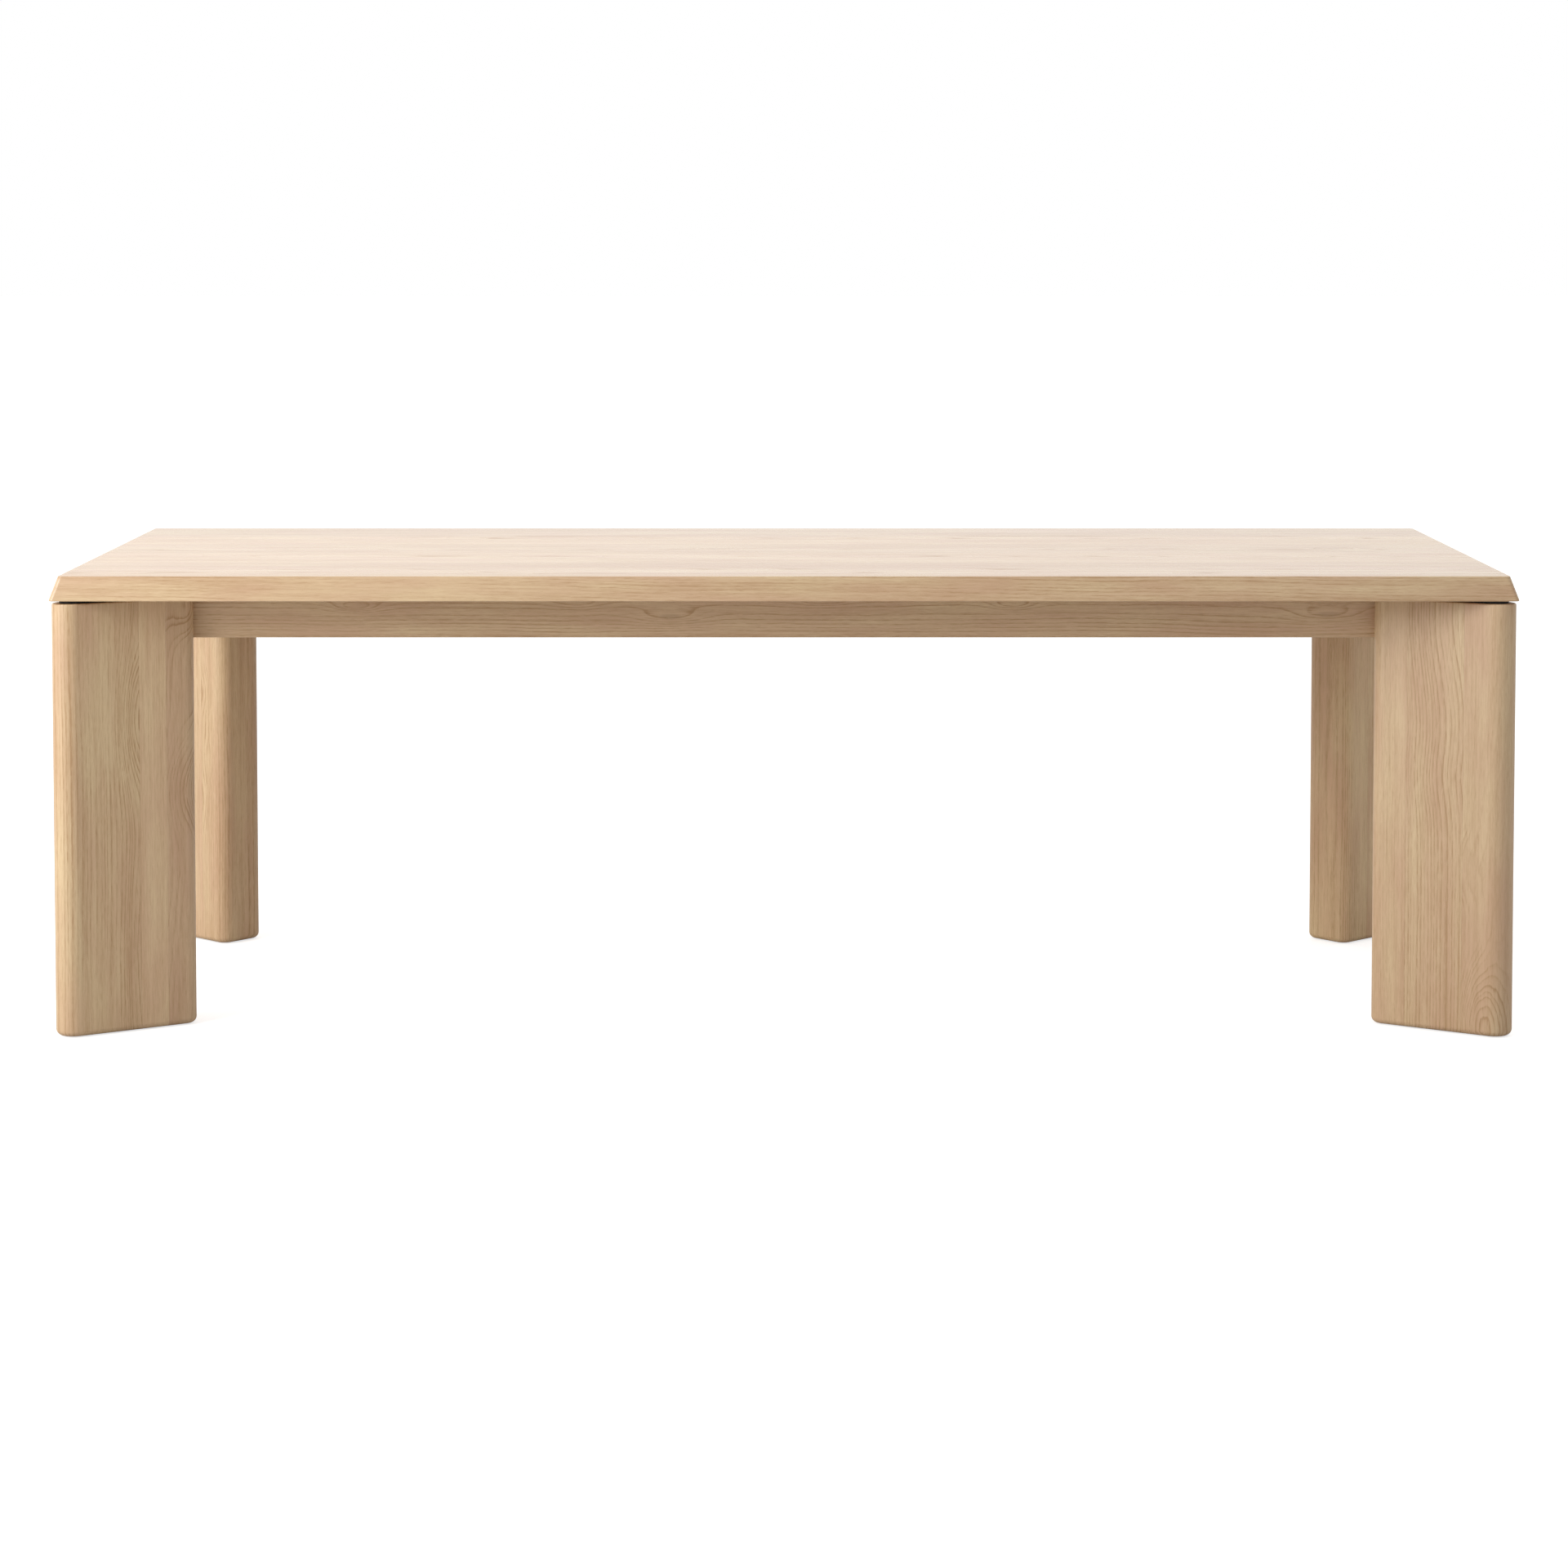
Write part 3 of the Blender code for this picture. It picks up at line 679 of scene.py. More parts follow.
def fine_surface(name, coarse, fine, stops, gloss, relief):
    """A surface that takes its colour from a coarse noise, and its gloss and relief from noises."""
    nodes = Material(name)
    place = nodes.coordinates()
    noises = {
        "coarse": nodes.cloud(place, *coarse, 3.0)[0],
        "fine": nodes.cloud(place, *fine, 2.0)[0],
    }
    nodes.set("Base Color", nodes.ramp(noises["coarse"], stops))
    follows, smooth, rough = gloss
    nodes.set("Roughness", nodes.spread(noises[follows], 0.3, 0.7, smooth, rough))
    nodes.bump(noises["fine"], *relief)
    return nodes


def brushed_zinc(name):
    """Bright zinc plate: fine cloudy tone, small scratches and a slightly uneven gloss."""
    coarse = ((90.0, 90.0, 90.0), (2.0, 4.0, 6.0))
    scratches = ((300.0, 2600.0, 700.0), (9.0, 1.0, 5.0))
    stops = (
        (0.3, tinted((0.8, 0.82, 0.86), ZINC_TONE)),
        (0.55, tinted((1.0, 1.01, 1.03), ZINC_TONE)),
        (0.75, tinted((1.12, 1.1, 1.04), ZINC_TONE)),
    )
    nodes = fine_surface(name, coarse, scratches, stops, ("fine", 0.24, 0.42), (0.15, 0.00004))
    nodes.set("Metallic", 1.0)
    return nodes.material


def powder_coat(name):
    """Black powder coat with its fine orange-peel relief."""
    dust = ((40.0, 40.0, 40.0), (5.0, 2.0, 8.0))
    peel = ((900.0, 900.0, 900.0), (1.0, 2.0, 3.0))
    stops = ((0.35, (0.014, 0.014, 0.015)), (0.7, (0.026, 0.026, 0.027)))
    return fine_surface(name, dust, peel, stops, ("fine", 0.48, 0.62), (0.4, 0.00005)).material


def nylon(name):
    """Matt black moulded nylon with a fine spark-eroded texture."""
    wear = ((160.0, 160.0, 160.0), (2.0, 9.0, 4.0))
    grit = ((1800.0, 1800.0, 1800.0), (3.0, 1.0, 7.0))
    stops = ((0.35, (0.022, 0.022, 0.023)), (0.72, (0.045, 0.044, 0.043)))
    return fine_surface(name, wear, grit, stops, ("coarse", 0.52, 0.66), (0.3, 0.00004)).material


# ---- top


def board_look(seed, pith, lean, spacing, **changes):
    """The figure of a board of the top, which is sanded finer than the frame and the legs."""
    changes.update(roughness=TOP_ROUGHNESS, relief=TOP_RELIEF)
    return oak_look(seed, pith, lean, spacing, **changes)


BOARD_LOOKS = (
    board_look(1, (0.02, 0.16), (0.0, 0.012), 0.0036),
    board_look(2, (-0.06, 0.1), (0.01, 0.02), 0.004, tint=(0.96, 0.94, 0.93)),
    board_look(3, (0.03, 0.09), (0.0, 0.03), 0.0044, tint=(1.04, 1.04, 1.04)),
    board_look(
        4, (-0.02, 0.12), (0.006, -0.022), 0.004,
        eyes=(
            Eye(-0.125, -0.004, 0.03, 0.012, 0.012, 1.0, 0.8),
            Eye(0.974, -0.004, 0.034, 0.012, 0.012, 1.0, 0.8),
            Eye(-0.645, 0.092, 0.06, 0.01, 0.016, 1.0, 0.45),
            Eye(0.455, 0.092, 0.05, 0.01, 0.016, 1.0, 0.45),
        ),
    ),
    board_look(5, (0.05, 0.1), (0.0, 0.025), 0.0042, tint=(1.05, 1.04, 1.03)),
    board_look(6, (-0.1, 0.08), (0.01, 0.012), 0.0038, tint=(0.98, 0.99, 1.02)),
)


def top_outline(inset, low, high):
    """Plan of the top drawn in by inset, clipped to the strip from low to high in Y."""
    half_x = LENGTH / 2 - inset
    half_y = DEPTH / 2 - inset
    radius = TOP_CORNER_RADIUS
    points = []
    for way, joint, start in ((-1, low, math.pi), (1, high, 0.0)):
        if joint is None:
            for k, side in enumerate((way, -way)):
                centre = (side * (half_x - radius), way * (half_y - radius))
                begin = start + k * math.pi / 2
                points += arc(centre, radius, begin, begin + math.pi / 2, TOP_CORNER_STEPS)
        else:
            edge = joint - way * GLUE_LINE / 2
            points += [(way * half_x, edge), (-way * half_x, edge)]
    return points


def edge_profile():
    """(inset, height) up the top's sloping edge, with both arrises eased."""
    slope = TOP_BEVEL / (TOP_FACE - UNDERSIDE - SLOPE_START)
    foot = (-slope * SLOPE_START, UNDERSIDE)
    head = (TOP_BEVEL, TOP_FACE)
    inside = 0.1
    lower = fillet((inside, UNDERSIDE), foot, head, LOWER_ARRIS_RADIUS)
    upper = fillet(foot, head, (inside, TOP_FACE), UPPER_ARRIS_RADIUS)
    return lower + upper


def make_top(board_holes):
    """Six boards, front to back, with their own figure and the holes that reach into them."""
    joints = (None, *BOARD_JOINTS, None)
    edges = (-DEPTH / 2, *BOARD_JOINTS, DEPTH / 2)
    for k, holes in enumerate(board_holes):
        node = f"top_board_{k + 1}"
        outlines = [(top_outline(inset, joints[k], joints[k + 1]), z) for inset, z in edge_profile()]
        mesh = loft(node, [at_height(outline, height) for outline, height in outlines])
        if holes:
            mesh = cut_away(mesh, holes)
        grain = Grain((0, (edges[k] + edges[k + 1]) / 2, TOP_FACE), (1, 0, 0), (0, 1, 0), (0, 0, -1))
        add_oak(node, mesh, grain, BOARD_LOOKS[k])


def board_index(y):
    """Which board of the top lies over a place in Y."""
    return sum(y > joint for joint in BOARD_JOINTS)


# ---- apron frame

RAIL_LOOKS = {
    "long_rail_front": oak_look(
        11, (-0.075, 0.045), (0.002, 0.004), 0.0062, wander=0.024, ripple=0.003, faint=0.4,
        contrast=1.5, tint=(1.06, 1.07, 1.09),
        eyes=(
            Eye(-0.713, 0.014, 0.042, 0.01, 0.02, 0.9), Eye(-0.345, 0.018, 0.046, 0.009, 0.01, 0.0),
            Eye(-0.19, -0.002, 0.06, 0.014, 0.02, 1.0, 0.22), Eye(0.065, 0.022, 0.05, 0.008, 0.01, 0.0),
            Eye(0.382, 0.018, 0.04, 0.01, 0.018, 0.9), Eye(0.907, 0.002, 0.06, 0.014, 0.02, 1.0, 0.22),
        ),
    ),
    "long_rail_back": oak_look(12, (0.02, 0.07), (-0.01, 0.016), 0.0048),
    "end_rail_left": oak_look(13, (0.01, 0.06), (0.02, 0.02), 0.0046),
    "end_rail_right": oak_look(14, (-0.02, 0.065), (0.02, -0.02), 0.0046),
    "cross_bearer_left": oak_look(15, (0.01, 0.08), (0.01, 0.01), 0.005),
    "cross_bearer_right": oak_look(16, (-0.01, 0.07), (0.01, -0.01), 0.005),
}


def rail_section(outer, inner):
    """(y, z) round a rail's section, its two lower arrises eased."""
    low = RAIL_BOTTOM
    points = [(outer, RAIL_TOP)]
    points += fillet((outer, RAIL_TOP), (outer, low), (inner, low), RAIL_ARRIS)
    points += fillet((outer, low), (inner, low), (inner, RAIL_TOP), RAIL_ARRIS)
    points.append((inner, RAIL_TOP))
    return points


def rail_rings(outer, ends):
    """Two end sections of a rail that runs along X, its ends cut to the legs."""
    inner = outer + RAIL_THICKNESS
    rings = []
    for side in (-1, 1):
        ring = []
        for y, z in rail_section(outer, inner):
            share = (y - outer) / RAIL_THICKNESS
            ring.append((side * (ends[0] + share * (ends[1] - ends[0])), y, z))
        rings.append(ring)
    return rings


def mirrored(rings, axis):
    """Rings with one coordinate negated."""
    return [[tuple(-c if k == axis else c for k, c in enumerate(p)) for p in ring] for ring in rings]


def long_rail_rings():
    """The front rail, whose ends lie against the inner ends of the legs."""
    ends = []
    for y in (-LONG_RAIL_FACE, -LONG_RAIL_FACE + RAIL_THICKNESS):
        local = face_line(END_NORMAL, END_DISTANCE + FIT_GAP, y + NOSE_Y, 1)
        ends.append(NOSE_X - local)
    return rail_rings(-LONG_RAIL_FACE, ends)


def end_rail_rings():
    """The left rail, whose ends lie against the back faces of the legs."""
    ends = []
    for x in (-END_RAIL_FACE, -END_RAIL_FACE + RAIL_THICKNESS):
        local = face_line(BACK_NORMAL, NOSE_RADIUS + FIT_GAP, x + NOSE_X, 0)
        ends.append(NOSE_Y - local)
    rings = rail_rings(-END_RAIL_FACE, ends)
    return [[(y, x, z) for x, y, z in ring] for ring in rings]


def box_mesh(name, low, high, edge=0.0):
    """A rectangular block between two corners, its edges eased if edge isn't 0."""
    shape = bmesh.new()
    bmesh.ops.create_cube(shape, size=1.0)
    for vertex in shape.verts:
        for k in range(3):
            vertex.co[k] = high[k] if vertex.co[k] > 0 else low[k]
    if edge:
        bmesh.ops.bevel(shape, geom=list(shape.edges), offset=edge, segments=2, affect="EDGES")
    return finish_mesh(name, shape)


def housings(side_y):
    """Cutters for the two bearer ends housed in a long rail."""
    cutters = []
    inner = LONG_RAIL_FACE - RAIL_THICKNESS
    reach = inner + BEARER_HOUSING + FIT_GAP
    for place in (-BEARER_PLACE, BEARER_PLACE):
        half = BEARER_WIDTH / 2 + FIT_GAP
        ys = sorted((side_y * (inner - BEARER_HOUSING), side_y * reach))
        low = (place - half, ys[0], BEARER_LOW - FIT_GAP)
        high = (place + half, ys[1], RAIL_TOP + OVERCUT)
        cutters.append(box_mesh("housing", low, high))
    return cutters


def make_rails():
    """The four aprons."""
    middle = (RAIL_TOP + RAIL_BOTTOM) / 2
    front = long_rail_rings()
    for name, rings, side in (
        ("long_rail_front", front, -1),
        ("long_rail_back", mirrored(front, 1), 1),
    ):
        mesh = cut_away(loft(name, rings), housings(side))
        grain = Grain((0, side * LONG_RAIL_FACE, middle), (1, 0, 0), (0, 0, 1), (0, -side, 0))
        add_oak(name, mesh, grain, RAIL_LOOKS[name])
    left = end_rail_rings()
    for name, rings, side in (("end_rail_left", left, -1), ("end_rail_right", mirrored(left, 0), 1)):
        grain = Grain((side * END_RAIL_FACE, 0, middle), (0, 1, 0), (0, 0, 1), (-side, 0, 0))
        add_oak(name, loft(name, rings), grain, RAIL_LOOKS[name])


def wood_screw_rings():
    """A pan-head wood screw with a hexagon recess and a threaded shank, in place in Z."""
    seat = BEARER_LOW + COUNTERBORE_DEPTH - FIT_GAP
    rings = [hexagon_ring(flats, seat - drop) for flats, drop in PAN_SOCKET]
    rings += [round_ring(radius, seat - drop) for radius, drop in PAN_HEAD]
    shank = (WOOD_SCREW_RADIUS, WOOD_SCREW_THREAD_DEPTH, WOOD_SCREW_PITCH)
    rings += thread_rings(*shank, seat, BEARER_SCREW_TIP - WOOD_SCREW_POINT, steps=8)
    rings.append(round_ring(WOOD_SCREW_END_RADIUS, BEARER_SCREW_TIP))
    return rings


def ridge(height, turn, pitch):
    """How deep a thread's V is at a height and a share of a turn, from 0 to 1."""
    return abs(((height / pitch - turn) % 1.0) * 2 - 1)


def thread_rings(radius, depth, pitch, low, high, steps):
    """Rings of a right-handed screw thread up a shank, with so many steps for each pitch."""
    rows = max(2, int(round((high - low) / pitch * steps)))
    rings = []
    for row in range(rows + 1):
        z = low + (high - low) * row / rows
        fade = min(1.0, (z - low) / pitch, (high - z) / pitch)
        ring = []
        for k in range(ROUND):
            turn = k / ROUND
            ring.append(polar(radius - depth * fade * ridge(z, turn, pitch), turn, z))
        rings.append(ring)
    return rings


def wood_screw_hole():
    """Cutter for a counterbored hole up through a bearer and into the top."""
    seat = BEARER_LOW + COUNTERBORE_DEPTH
    profile = (
        (COUNTERBORE_RADIUS, BEARER_LOW - OVERCUT),
        (COUNTERBORE_RADIUS, seat),
        (WOOD_SCREW_HOLE_RADIUS, seat),
        (WOOD_SCREW_HOLE_RADIUS, BEARER_SCREW_TIP + OVERCUT),
    )
    return turned("screw_hole", profile, HOLE_ROUND)


def make_bearers(zinc, board_holes):
    """Cross bearers and the screws that hold the top down on them."""
    half_x = BEARER_WIDTH / 2
    half_y = LONG_RAIL_FACE - RAIL_THICKNESS + BEARER_HOUSING
    for side, place in (("left", -BEARER_PLACE), ("right", BEARER_PLACE)):
        name = f"cross_bearer_{side}"
        low = (place - half_x, -half_y, BEARER_LOW)
        high = (place + half_x, half_y, RAIL_TOP)
        holes = []
        for label, y in (("front", -BEARER_SCREW_PLACE), ("back", BEARER_SCREW_PLACE)):
            for cutters in (holes, board_holes[board_index(y)]):
                cutters.append(moved(wood_screw_hole(), (place, y, 0)))
            screw = f"bearer_screw_{side}_{label}"
            add_zinc(screw, moved(loft(screw, wood_screw_rings()), (place, y, 0)), zinc)
        mesh = cut_away(box_mesh(name, low, high, BEARER_EDGE), holes)
        grain = Grain((place, 0, BEARER_LOW), (0, 1, 0), (1, 0, 0), (0, 0, 1))
        add_oak(name, mesh, grain, RAIL_LOOKS[name])


# ---- legs

STAVE_LOOKS = {
    "front_left": (
        oak_look(
            21, (-0.13, 0.07), spacing=0.0066, ripple=0.0026, faint=0.1, clear=0.7, contrast=2.1,
            tint=(0.98, 0.98, 0.96),
            eyes=(Eye(0.16, 0.064, 0.105, 0.034, 0.044), Eye(-0.21, 0.072, 0.17, 0.04, 0.016, 0.7)),
        ),
        oak_look(22, (0.15, 0.02), spacing=0.0036, faint=0.03, clear=0.25, tint=(1.07, 1.08, 1.08)),
        oak_look(
            23, (0.09, 0.06), (0.02, 0.05), 0.0085, wander=0.024, ripple=0.0044, faint=0.0, clear=0.4,
            contrast=1.7, tint=(0.97, 0.95, 0.96),
            eyes=(
                Eye(0.345, 0.02, 0.05, 0.05, 0.05), Eye(0.19, 0.04, 0.06, 0.03, 0.03),
                Eye(0.04, 0.04, 0.07, 0.06, -0.06),
            ),
        ),
    ),
    "front_right": (
        oak_look(
            24, (0.11, 0.06), spacing=0.0056, ripple=0.0075, faint=0.04, clear=0.3, contrast=1.3,
            eyes=(Eye(-0.35, 0.004, 0.11, 0.04, 0.065), Eye(-0.08, 0.03, 0.06, 0.03, 0.014, 0.5)),
        ),
        oak_look(
            25, (-0.13, 0.06), spacing=0.0056, wander=0.012, ripple=0.003, faint=0.5, contrast=1.7,
            eyes=(Eye(0.34, 0.0, 0.13, 0.09, -0.022, 0.0), Eye(0.07, 0.0, 0.06, 0.09, -0.008, 0.0)),
        ),
        oak_look(26, (0.12, 0.03), spacing=0.0042, faint=0.05, clear=0.4, tint=(1.03, 1.03, 1.03)),
    ),
    "back_left": (
        oak_look(
            27, (0.11, 0.06), (0.0, 0.01), 0.007, ripple=0.0034, faint=0.05, clear=0.4, contrast=2.0,
            eyes=(
                Eye(0.23, -0.01, 0.06, 0.024, 0.03), Eye(0.08, 0.012, 0.05, 0.024, 0.026),
                Eye(-0.24, 0.0, 0.08, 0.024, 0.03),
            ),
        ),
        oak_look(28, (0.13, 0.05), (0.006, 0.01), 0.005, faint=0.15),
        oak_look(
            29, (0.11, 0.02), (0.0, 0.006), 0.005, ripple=0.0024, faint=0.25, contrast=1.6,
            tint=(0.96, 0.95, 0.94),
            eyes=(
                Eye(0.107, -0.018, 0.045, 0.018, 0.013, 0.9), Eye(0.03, -0.008, 0.04, 0.014, 0.01, 0.9),
                Eye(-0.09, -0.02, 0.06, 0.018, 0.012, 0.9),
            ),
        ),
    ),
    "back_right": (
        oak_look(30, (0.11, 0.03), (0.0, 0.006), 0.0046, faint=0.1, tint=(1.05, 1.04, 1.0)),
        oak_look(31, (0.12, 0.06), (0.006, 0.01), 0.005, faint=0.12, tint=(1.07, 1.06, 1.02)),
        oak_look(32, (0.1, 0.02), (0.0, 0.008), 0.0042, faint=0.22, tint=(1.09, 1.09, 1.05)),
    ),
}


def leg_outline(inset):
    """Plan of a leg about its nose centre, x and y pointing in from the corner of the table."""
    face, end, back = FACE_NORMAL, END_NORMAL, BACK_NORMAL
    near = meet(face, NOSE_RADIUS - INNER_RADIUS, end, END_DISTANCE - INNER_RADIUS)
    far = meet(end, END_DISTANCE - INNER_RADIUS, back, NOSE_RADIUS - INNER_RADIUS)
    points = arc((0, 0), NOSE_RADIUS - inset, back, face, NOSE_STEPS)
    points += arc(near, INNER_RADIUS - inset, face, end, INNER_STEPS)
    points += arc(far, INNER_RADIUS - inset, end, back, INNER_STEPS)
    return points


def in_corner(outline, corner):
    """A plan outline about a nose centre, turned over and moved to a corner of the table."""
    return [corner_place(corner, x, y).xy for x, y in outline]


def corner_place(corner, x, y):
    """A local leg place in the row frame."""
    along, across = CORNERS[corner]
    return Vector((along * (x - NOSE_X), across * (y - NOSE_Y), 0))


def axis_place(corner, distance):
    """A place on the leg's long plan axis, in the row frame."""
    return corner_place(corner, distance * math.cos(AXIS_ANGLE), distance * math.sin(AXIS_ANGLE))


def axis_direction(corner):
    """The way the leg's long plan axis points, from the nose inwards."""
    return (axis_place(corner, 1) - axis_place(corner, 0)).normalized()


def leg_shape(corner):
    """A whole leg as a bmesh in the row frame, rounded round its foot and eased at its top."""
    levels = []
    for turn in quarter_turn(LEG_BOTTOM_STEPS):
        inset = LEG_BOTTOM_RADIUS * (1 - math.sin(turn))
        levels.append((inset, LEG_BOTTOM + LEG_BOTTOM_RADIUS * (1 - math.cos(turn))))
    for turn in quarter_turn(LEG_TOP_STEPS):
        inset = LEG_TOP_RADIUS * (1 - math.cos(turn))
        levels.append((inset, LEG_TOP - LEG_TOP_RADIUS * (1 - math.sin(turn))))
    return loft_shape([at_height(in_corner(leg_outline(inset), corner), z) for inset, z in levels])


def keep_side(shape, point, direction):
    """Slice the body at a plane, keep the side that direction points to, and close it."""
    everything = list(shape.verts) + list(shape.edges) + list(shape.faces)
    bmesh.ops.bisect_plane(
        shape, geom=everything, dist=TINY, plane_co=point, plane_no=direction, clear_inner=True
    )
    rim = [edge for edge in shape.edges if edge.is_boundary]
    bmesh.ops.edgeloop_fill(shape, edges=rim)


def stave_cutters(corner, low, high):
    """Screw holes and the foot's recess that fall within one stave."""
    cutters = []
    for distance in LEG_SCREWS:
        if low < distance <= high:
            bottom = UNDERSIDE - LEG_SCREW_LENGTH - LEG_SCREW_HOLE_SPARE
            profile = ((HOLE_RADIUS, LEG_TOP + OVERCUT), (HOLE_RADIUS, bottom))
            cutters.append(moved(turned("leg_screw_hole", profile), axis_place(corner, distance)))
    if low < FOOT_PLACE <= high:
        seat = RECESS_TOP + INSERT_LENGTH + FIT_GAP
        profile = (
            (RECESS_RADIUS, -OVERCUT),
            (RECESS_RADIUS, RECESS_TOP),
            (INSERT_RADIUS + FIT_GAP, RECESS_TOP),
            (INSERT_RADIUS + FIT_GAP, seat),
            (STUD_HOLE_RADIUS, seat),
            (STUD_HOLE_RADIUS, STUD_HOLE_TOP),
        )
        cutters.append(moved(turned("foot_recess", profile), axis_place(corner, FOOT_PLACE)))
    return cutters


def make_staves(corner):
    """Three staves glued side by side, each with its own upright grain."""
    axis = axis_direction(corner)
    deep = Vector((0, 0, 1)).cross(axis)
    if deep.y * CORNERS[corner][1] < 0:
        deep.negate()
    edges = (-1.0, *STAVE_JOINTS[corner], 1.0)
    for k, (low, high) in enumerate(zip(edges, edges[1:]), 1):
        shape = leg_shape(corner)
        if k > 1:
            keep_side(shape, axis_place(corner, low + GLUE_LINE / 2), axis)
        if k < 3:
            keep_side(shape, axis_place(corner, high - GLUE_LINE / 2), -axis)
        name = f"leg_{corner}_stave_{k}"
        mesh = finish_mesh(name, shape)
        cutters = stave_cutters(corner, low, high)
        if cutters:
            mesh = cut_away(mesh, cutters)
        middle = (max(low, -NOSE_RADIUS) + min(high, END_DISTANCE)) / 2
        origin = axis_place(corner, middle) + Vector((0, 0, LEG_TOP / 2))
        grain = Grain(origin, (0, 0, 1), axis, deep)
        add_oak(name, mesh, grain, STAVE_LOOKS[corner][k - 1])


# ---- plates and fasteners


def plate_outline():
    """Plan of a leg plate: the leg's own plan drawn in, and a clipped gusset in the apron corner."""
    face, end, back = FACE_NORMAL, END_NORMAL, BACK_NORMAL
    rail_y = NOSE_Y - LONG_RAIL_FACE + RAIL_THICKNESS + PLATE_RAIL_GAP
    rail_x = NOSE_X - END_RAIL_FACE + RAIL_THICKNESS + PLATE_RAIL_GAP
    near = meet(face, NOSE_RADIUS - INNER_RADIUS, end, END_DISTANCE - INNER_RADIUS)
    points = arc((0, 0), NOSE_RADIUS - PLATE_INSET, back, face, 24)
    points += arc(near, INNER_RADIUS - PLATE_INSET, face, end, 10)
    points.append((face_line(end, END_DISTANCE - PLATE_INSET, rail_y, 1), rail_y))
    square = (GUSSET_LONG, rail_y)
    points += fillet(points[-1], square, (GUSSET_LONG, GUSSET_DEEP), GUSSET_CORNER_RADIUS)
    clip_start = (GUSSET_LONG, GUSSET_DEEP - GUSSET_CLIP_Y)
    clip_end = (GUSSET_LONG - GUSSET_CLIP_X, GUSSET_DEEP)
    points += fillet(square, clip_start, clip_end, GUSSET_CLIP_RADIUS)
    points += fillet(clip_start, clip_end, (rail_x, GUSSET_DEEP), GUSSET_CLIP_RADIUS)
    points += fillet(clip_end, (rail_x, GUSSET_DEEP), (rail_x, rail_y), GUSSET_CORNER_RADIUS)
    points.append((rail_x, face_line(back, NOSE_RADIUS - PLATE_INSET, rail_x, 0)))
    return points


def eased_plate(name, outline, low, high):
    """A flat plate whose rims are broken by a small chamfer."""
    shape = loft_shape([at_height(outline, low), at_height(outline, high)])
    rims = [edge for edge in shape.edges if abs(edge.verts[0].co.z - edge.verts[1].co.z) < TINY]
    bmesh.ops.bevel(shape, geom=rims, offset=PLATE_EDGE, segments=1, affect="EDGES")
    return finish_mesh(name, shape, PLATE_SHARP_ANGLE)


def make_plate(corner, coat):
    """The steel plate between a leg and the top, with its holes."""
    outline = in_corner(plate_outline(), corner)
    name = f"leg_plate_{corner}"
    mesh = eased_plate(name, outline, LEG_TOP + FIT_GAP, UNDERSIDE - FIT_GAP)
    top = UNDERSIDE - 2 * FIT_GAP
    cutters = []
    for distance in LEG_SCREWS:
        profile = (
            (COUNTERSINK_RADIUS + OVERCUT, top + OVERCUT),
            (COUNTERSINK_RADIUS + COUNTERSINK_RIM, top - COUNTERSINK_RIM),
            (HOLE_RADIUS, top - COUNTERSINK_DEPTH),
            (HOLE_RADIUS, LEG_TOP - OVERCUT),
        )
        cutters.append(moved(turned("countersink", profile), axis_place(corner, distance)))
    for x, y in PLATE_BOLTS:
        profile = ((HOLE_RADIUS, LEG_TOP - OVERCUT), (HOLE_RADIUS, UNDERSIDE + OVERCUT))
        cutters.append(moved(turned("bolt_hole", profile), corner_place(corner, x, y)))
    add_piece(name, cut_away(mesh, cutters), coat, "table_frame")


def machine_thread(low, high, steps):
    """Rings of an M8 thread."""
    return thread_rings(THREAD_RADIUS, THREAD_DEPTH, THREAD_PITCH, low, high, steps)


def leg_screw_rings():
    """Countersunk M8 screw with a hexagon socket, its head's top at height 0."""
    rings = [
        hexagon_ring(SOCKET_FLATS, -SOCKET_DEPTH),
        hexagon_ring(SOCKET_FLATS, 0),
        round_ring(COUNTERSINK_RADIUS - COUNTERSINK_RIM, 0),
        round_ring(COUNTERSINK_RADIUS, -COUNTERSINK_RIM),
        round_ring(THREAD_RADIUS, -COUNTERSINK_DEPTH),
    ]
    thread = machine_thread(END_CHAMFER - LEG_SCREW_LENGTH, -LEG_SCREW_SMOOTH, 6)
    rings += list(reversed(thread))
    rings.append(round_ring(THREAD_RADIUS - END_CHAMFER, -LEG_SCREW_LENGTH))
    return rings


def plate_bolt_rings():
    """M8 button-head bolt with a hexagon socket, pointing up from its seat at height 0."""
    shank = PLATE_BOLT_TIP - LEG_TOP
    rings = [
        hexagon_ring(SOCKET_FLATS, SOCKET_DEPTH - BOLT_HEAD_HEIGHT),
        hexagon_ring(SOCKET_FLATS, -BOLT_HEAD_HEIGHT),
    ]
    for turn in quarter_turn(DOME_STEPS):
        radius = BOLT_HEAD_RADIUS - BOLT_DOME_RADIUS * (1 - math.sin(turn))
        height = BOLT_DOME_HEIGHT * (1 - math.cos(turn)) - BOLT_HEAD_HEIGHT
        rings.append(round_ring(radius, height))
    rings.append(round_ring(BOLT_HEAD_RADIUS, 0))
    rings.append(round_ring(THREAD_RADIUS, 0))
    rings += machine_thread(PLATE_BOLT_SMOOTH, shank - END_CHAMFER, 6)
    rings.append(round_ring(THREAD_RADIUS - END_CHAMFER, shank))
    return rings


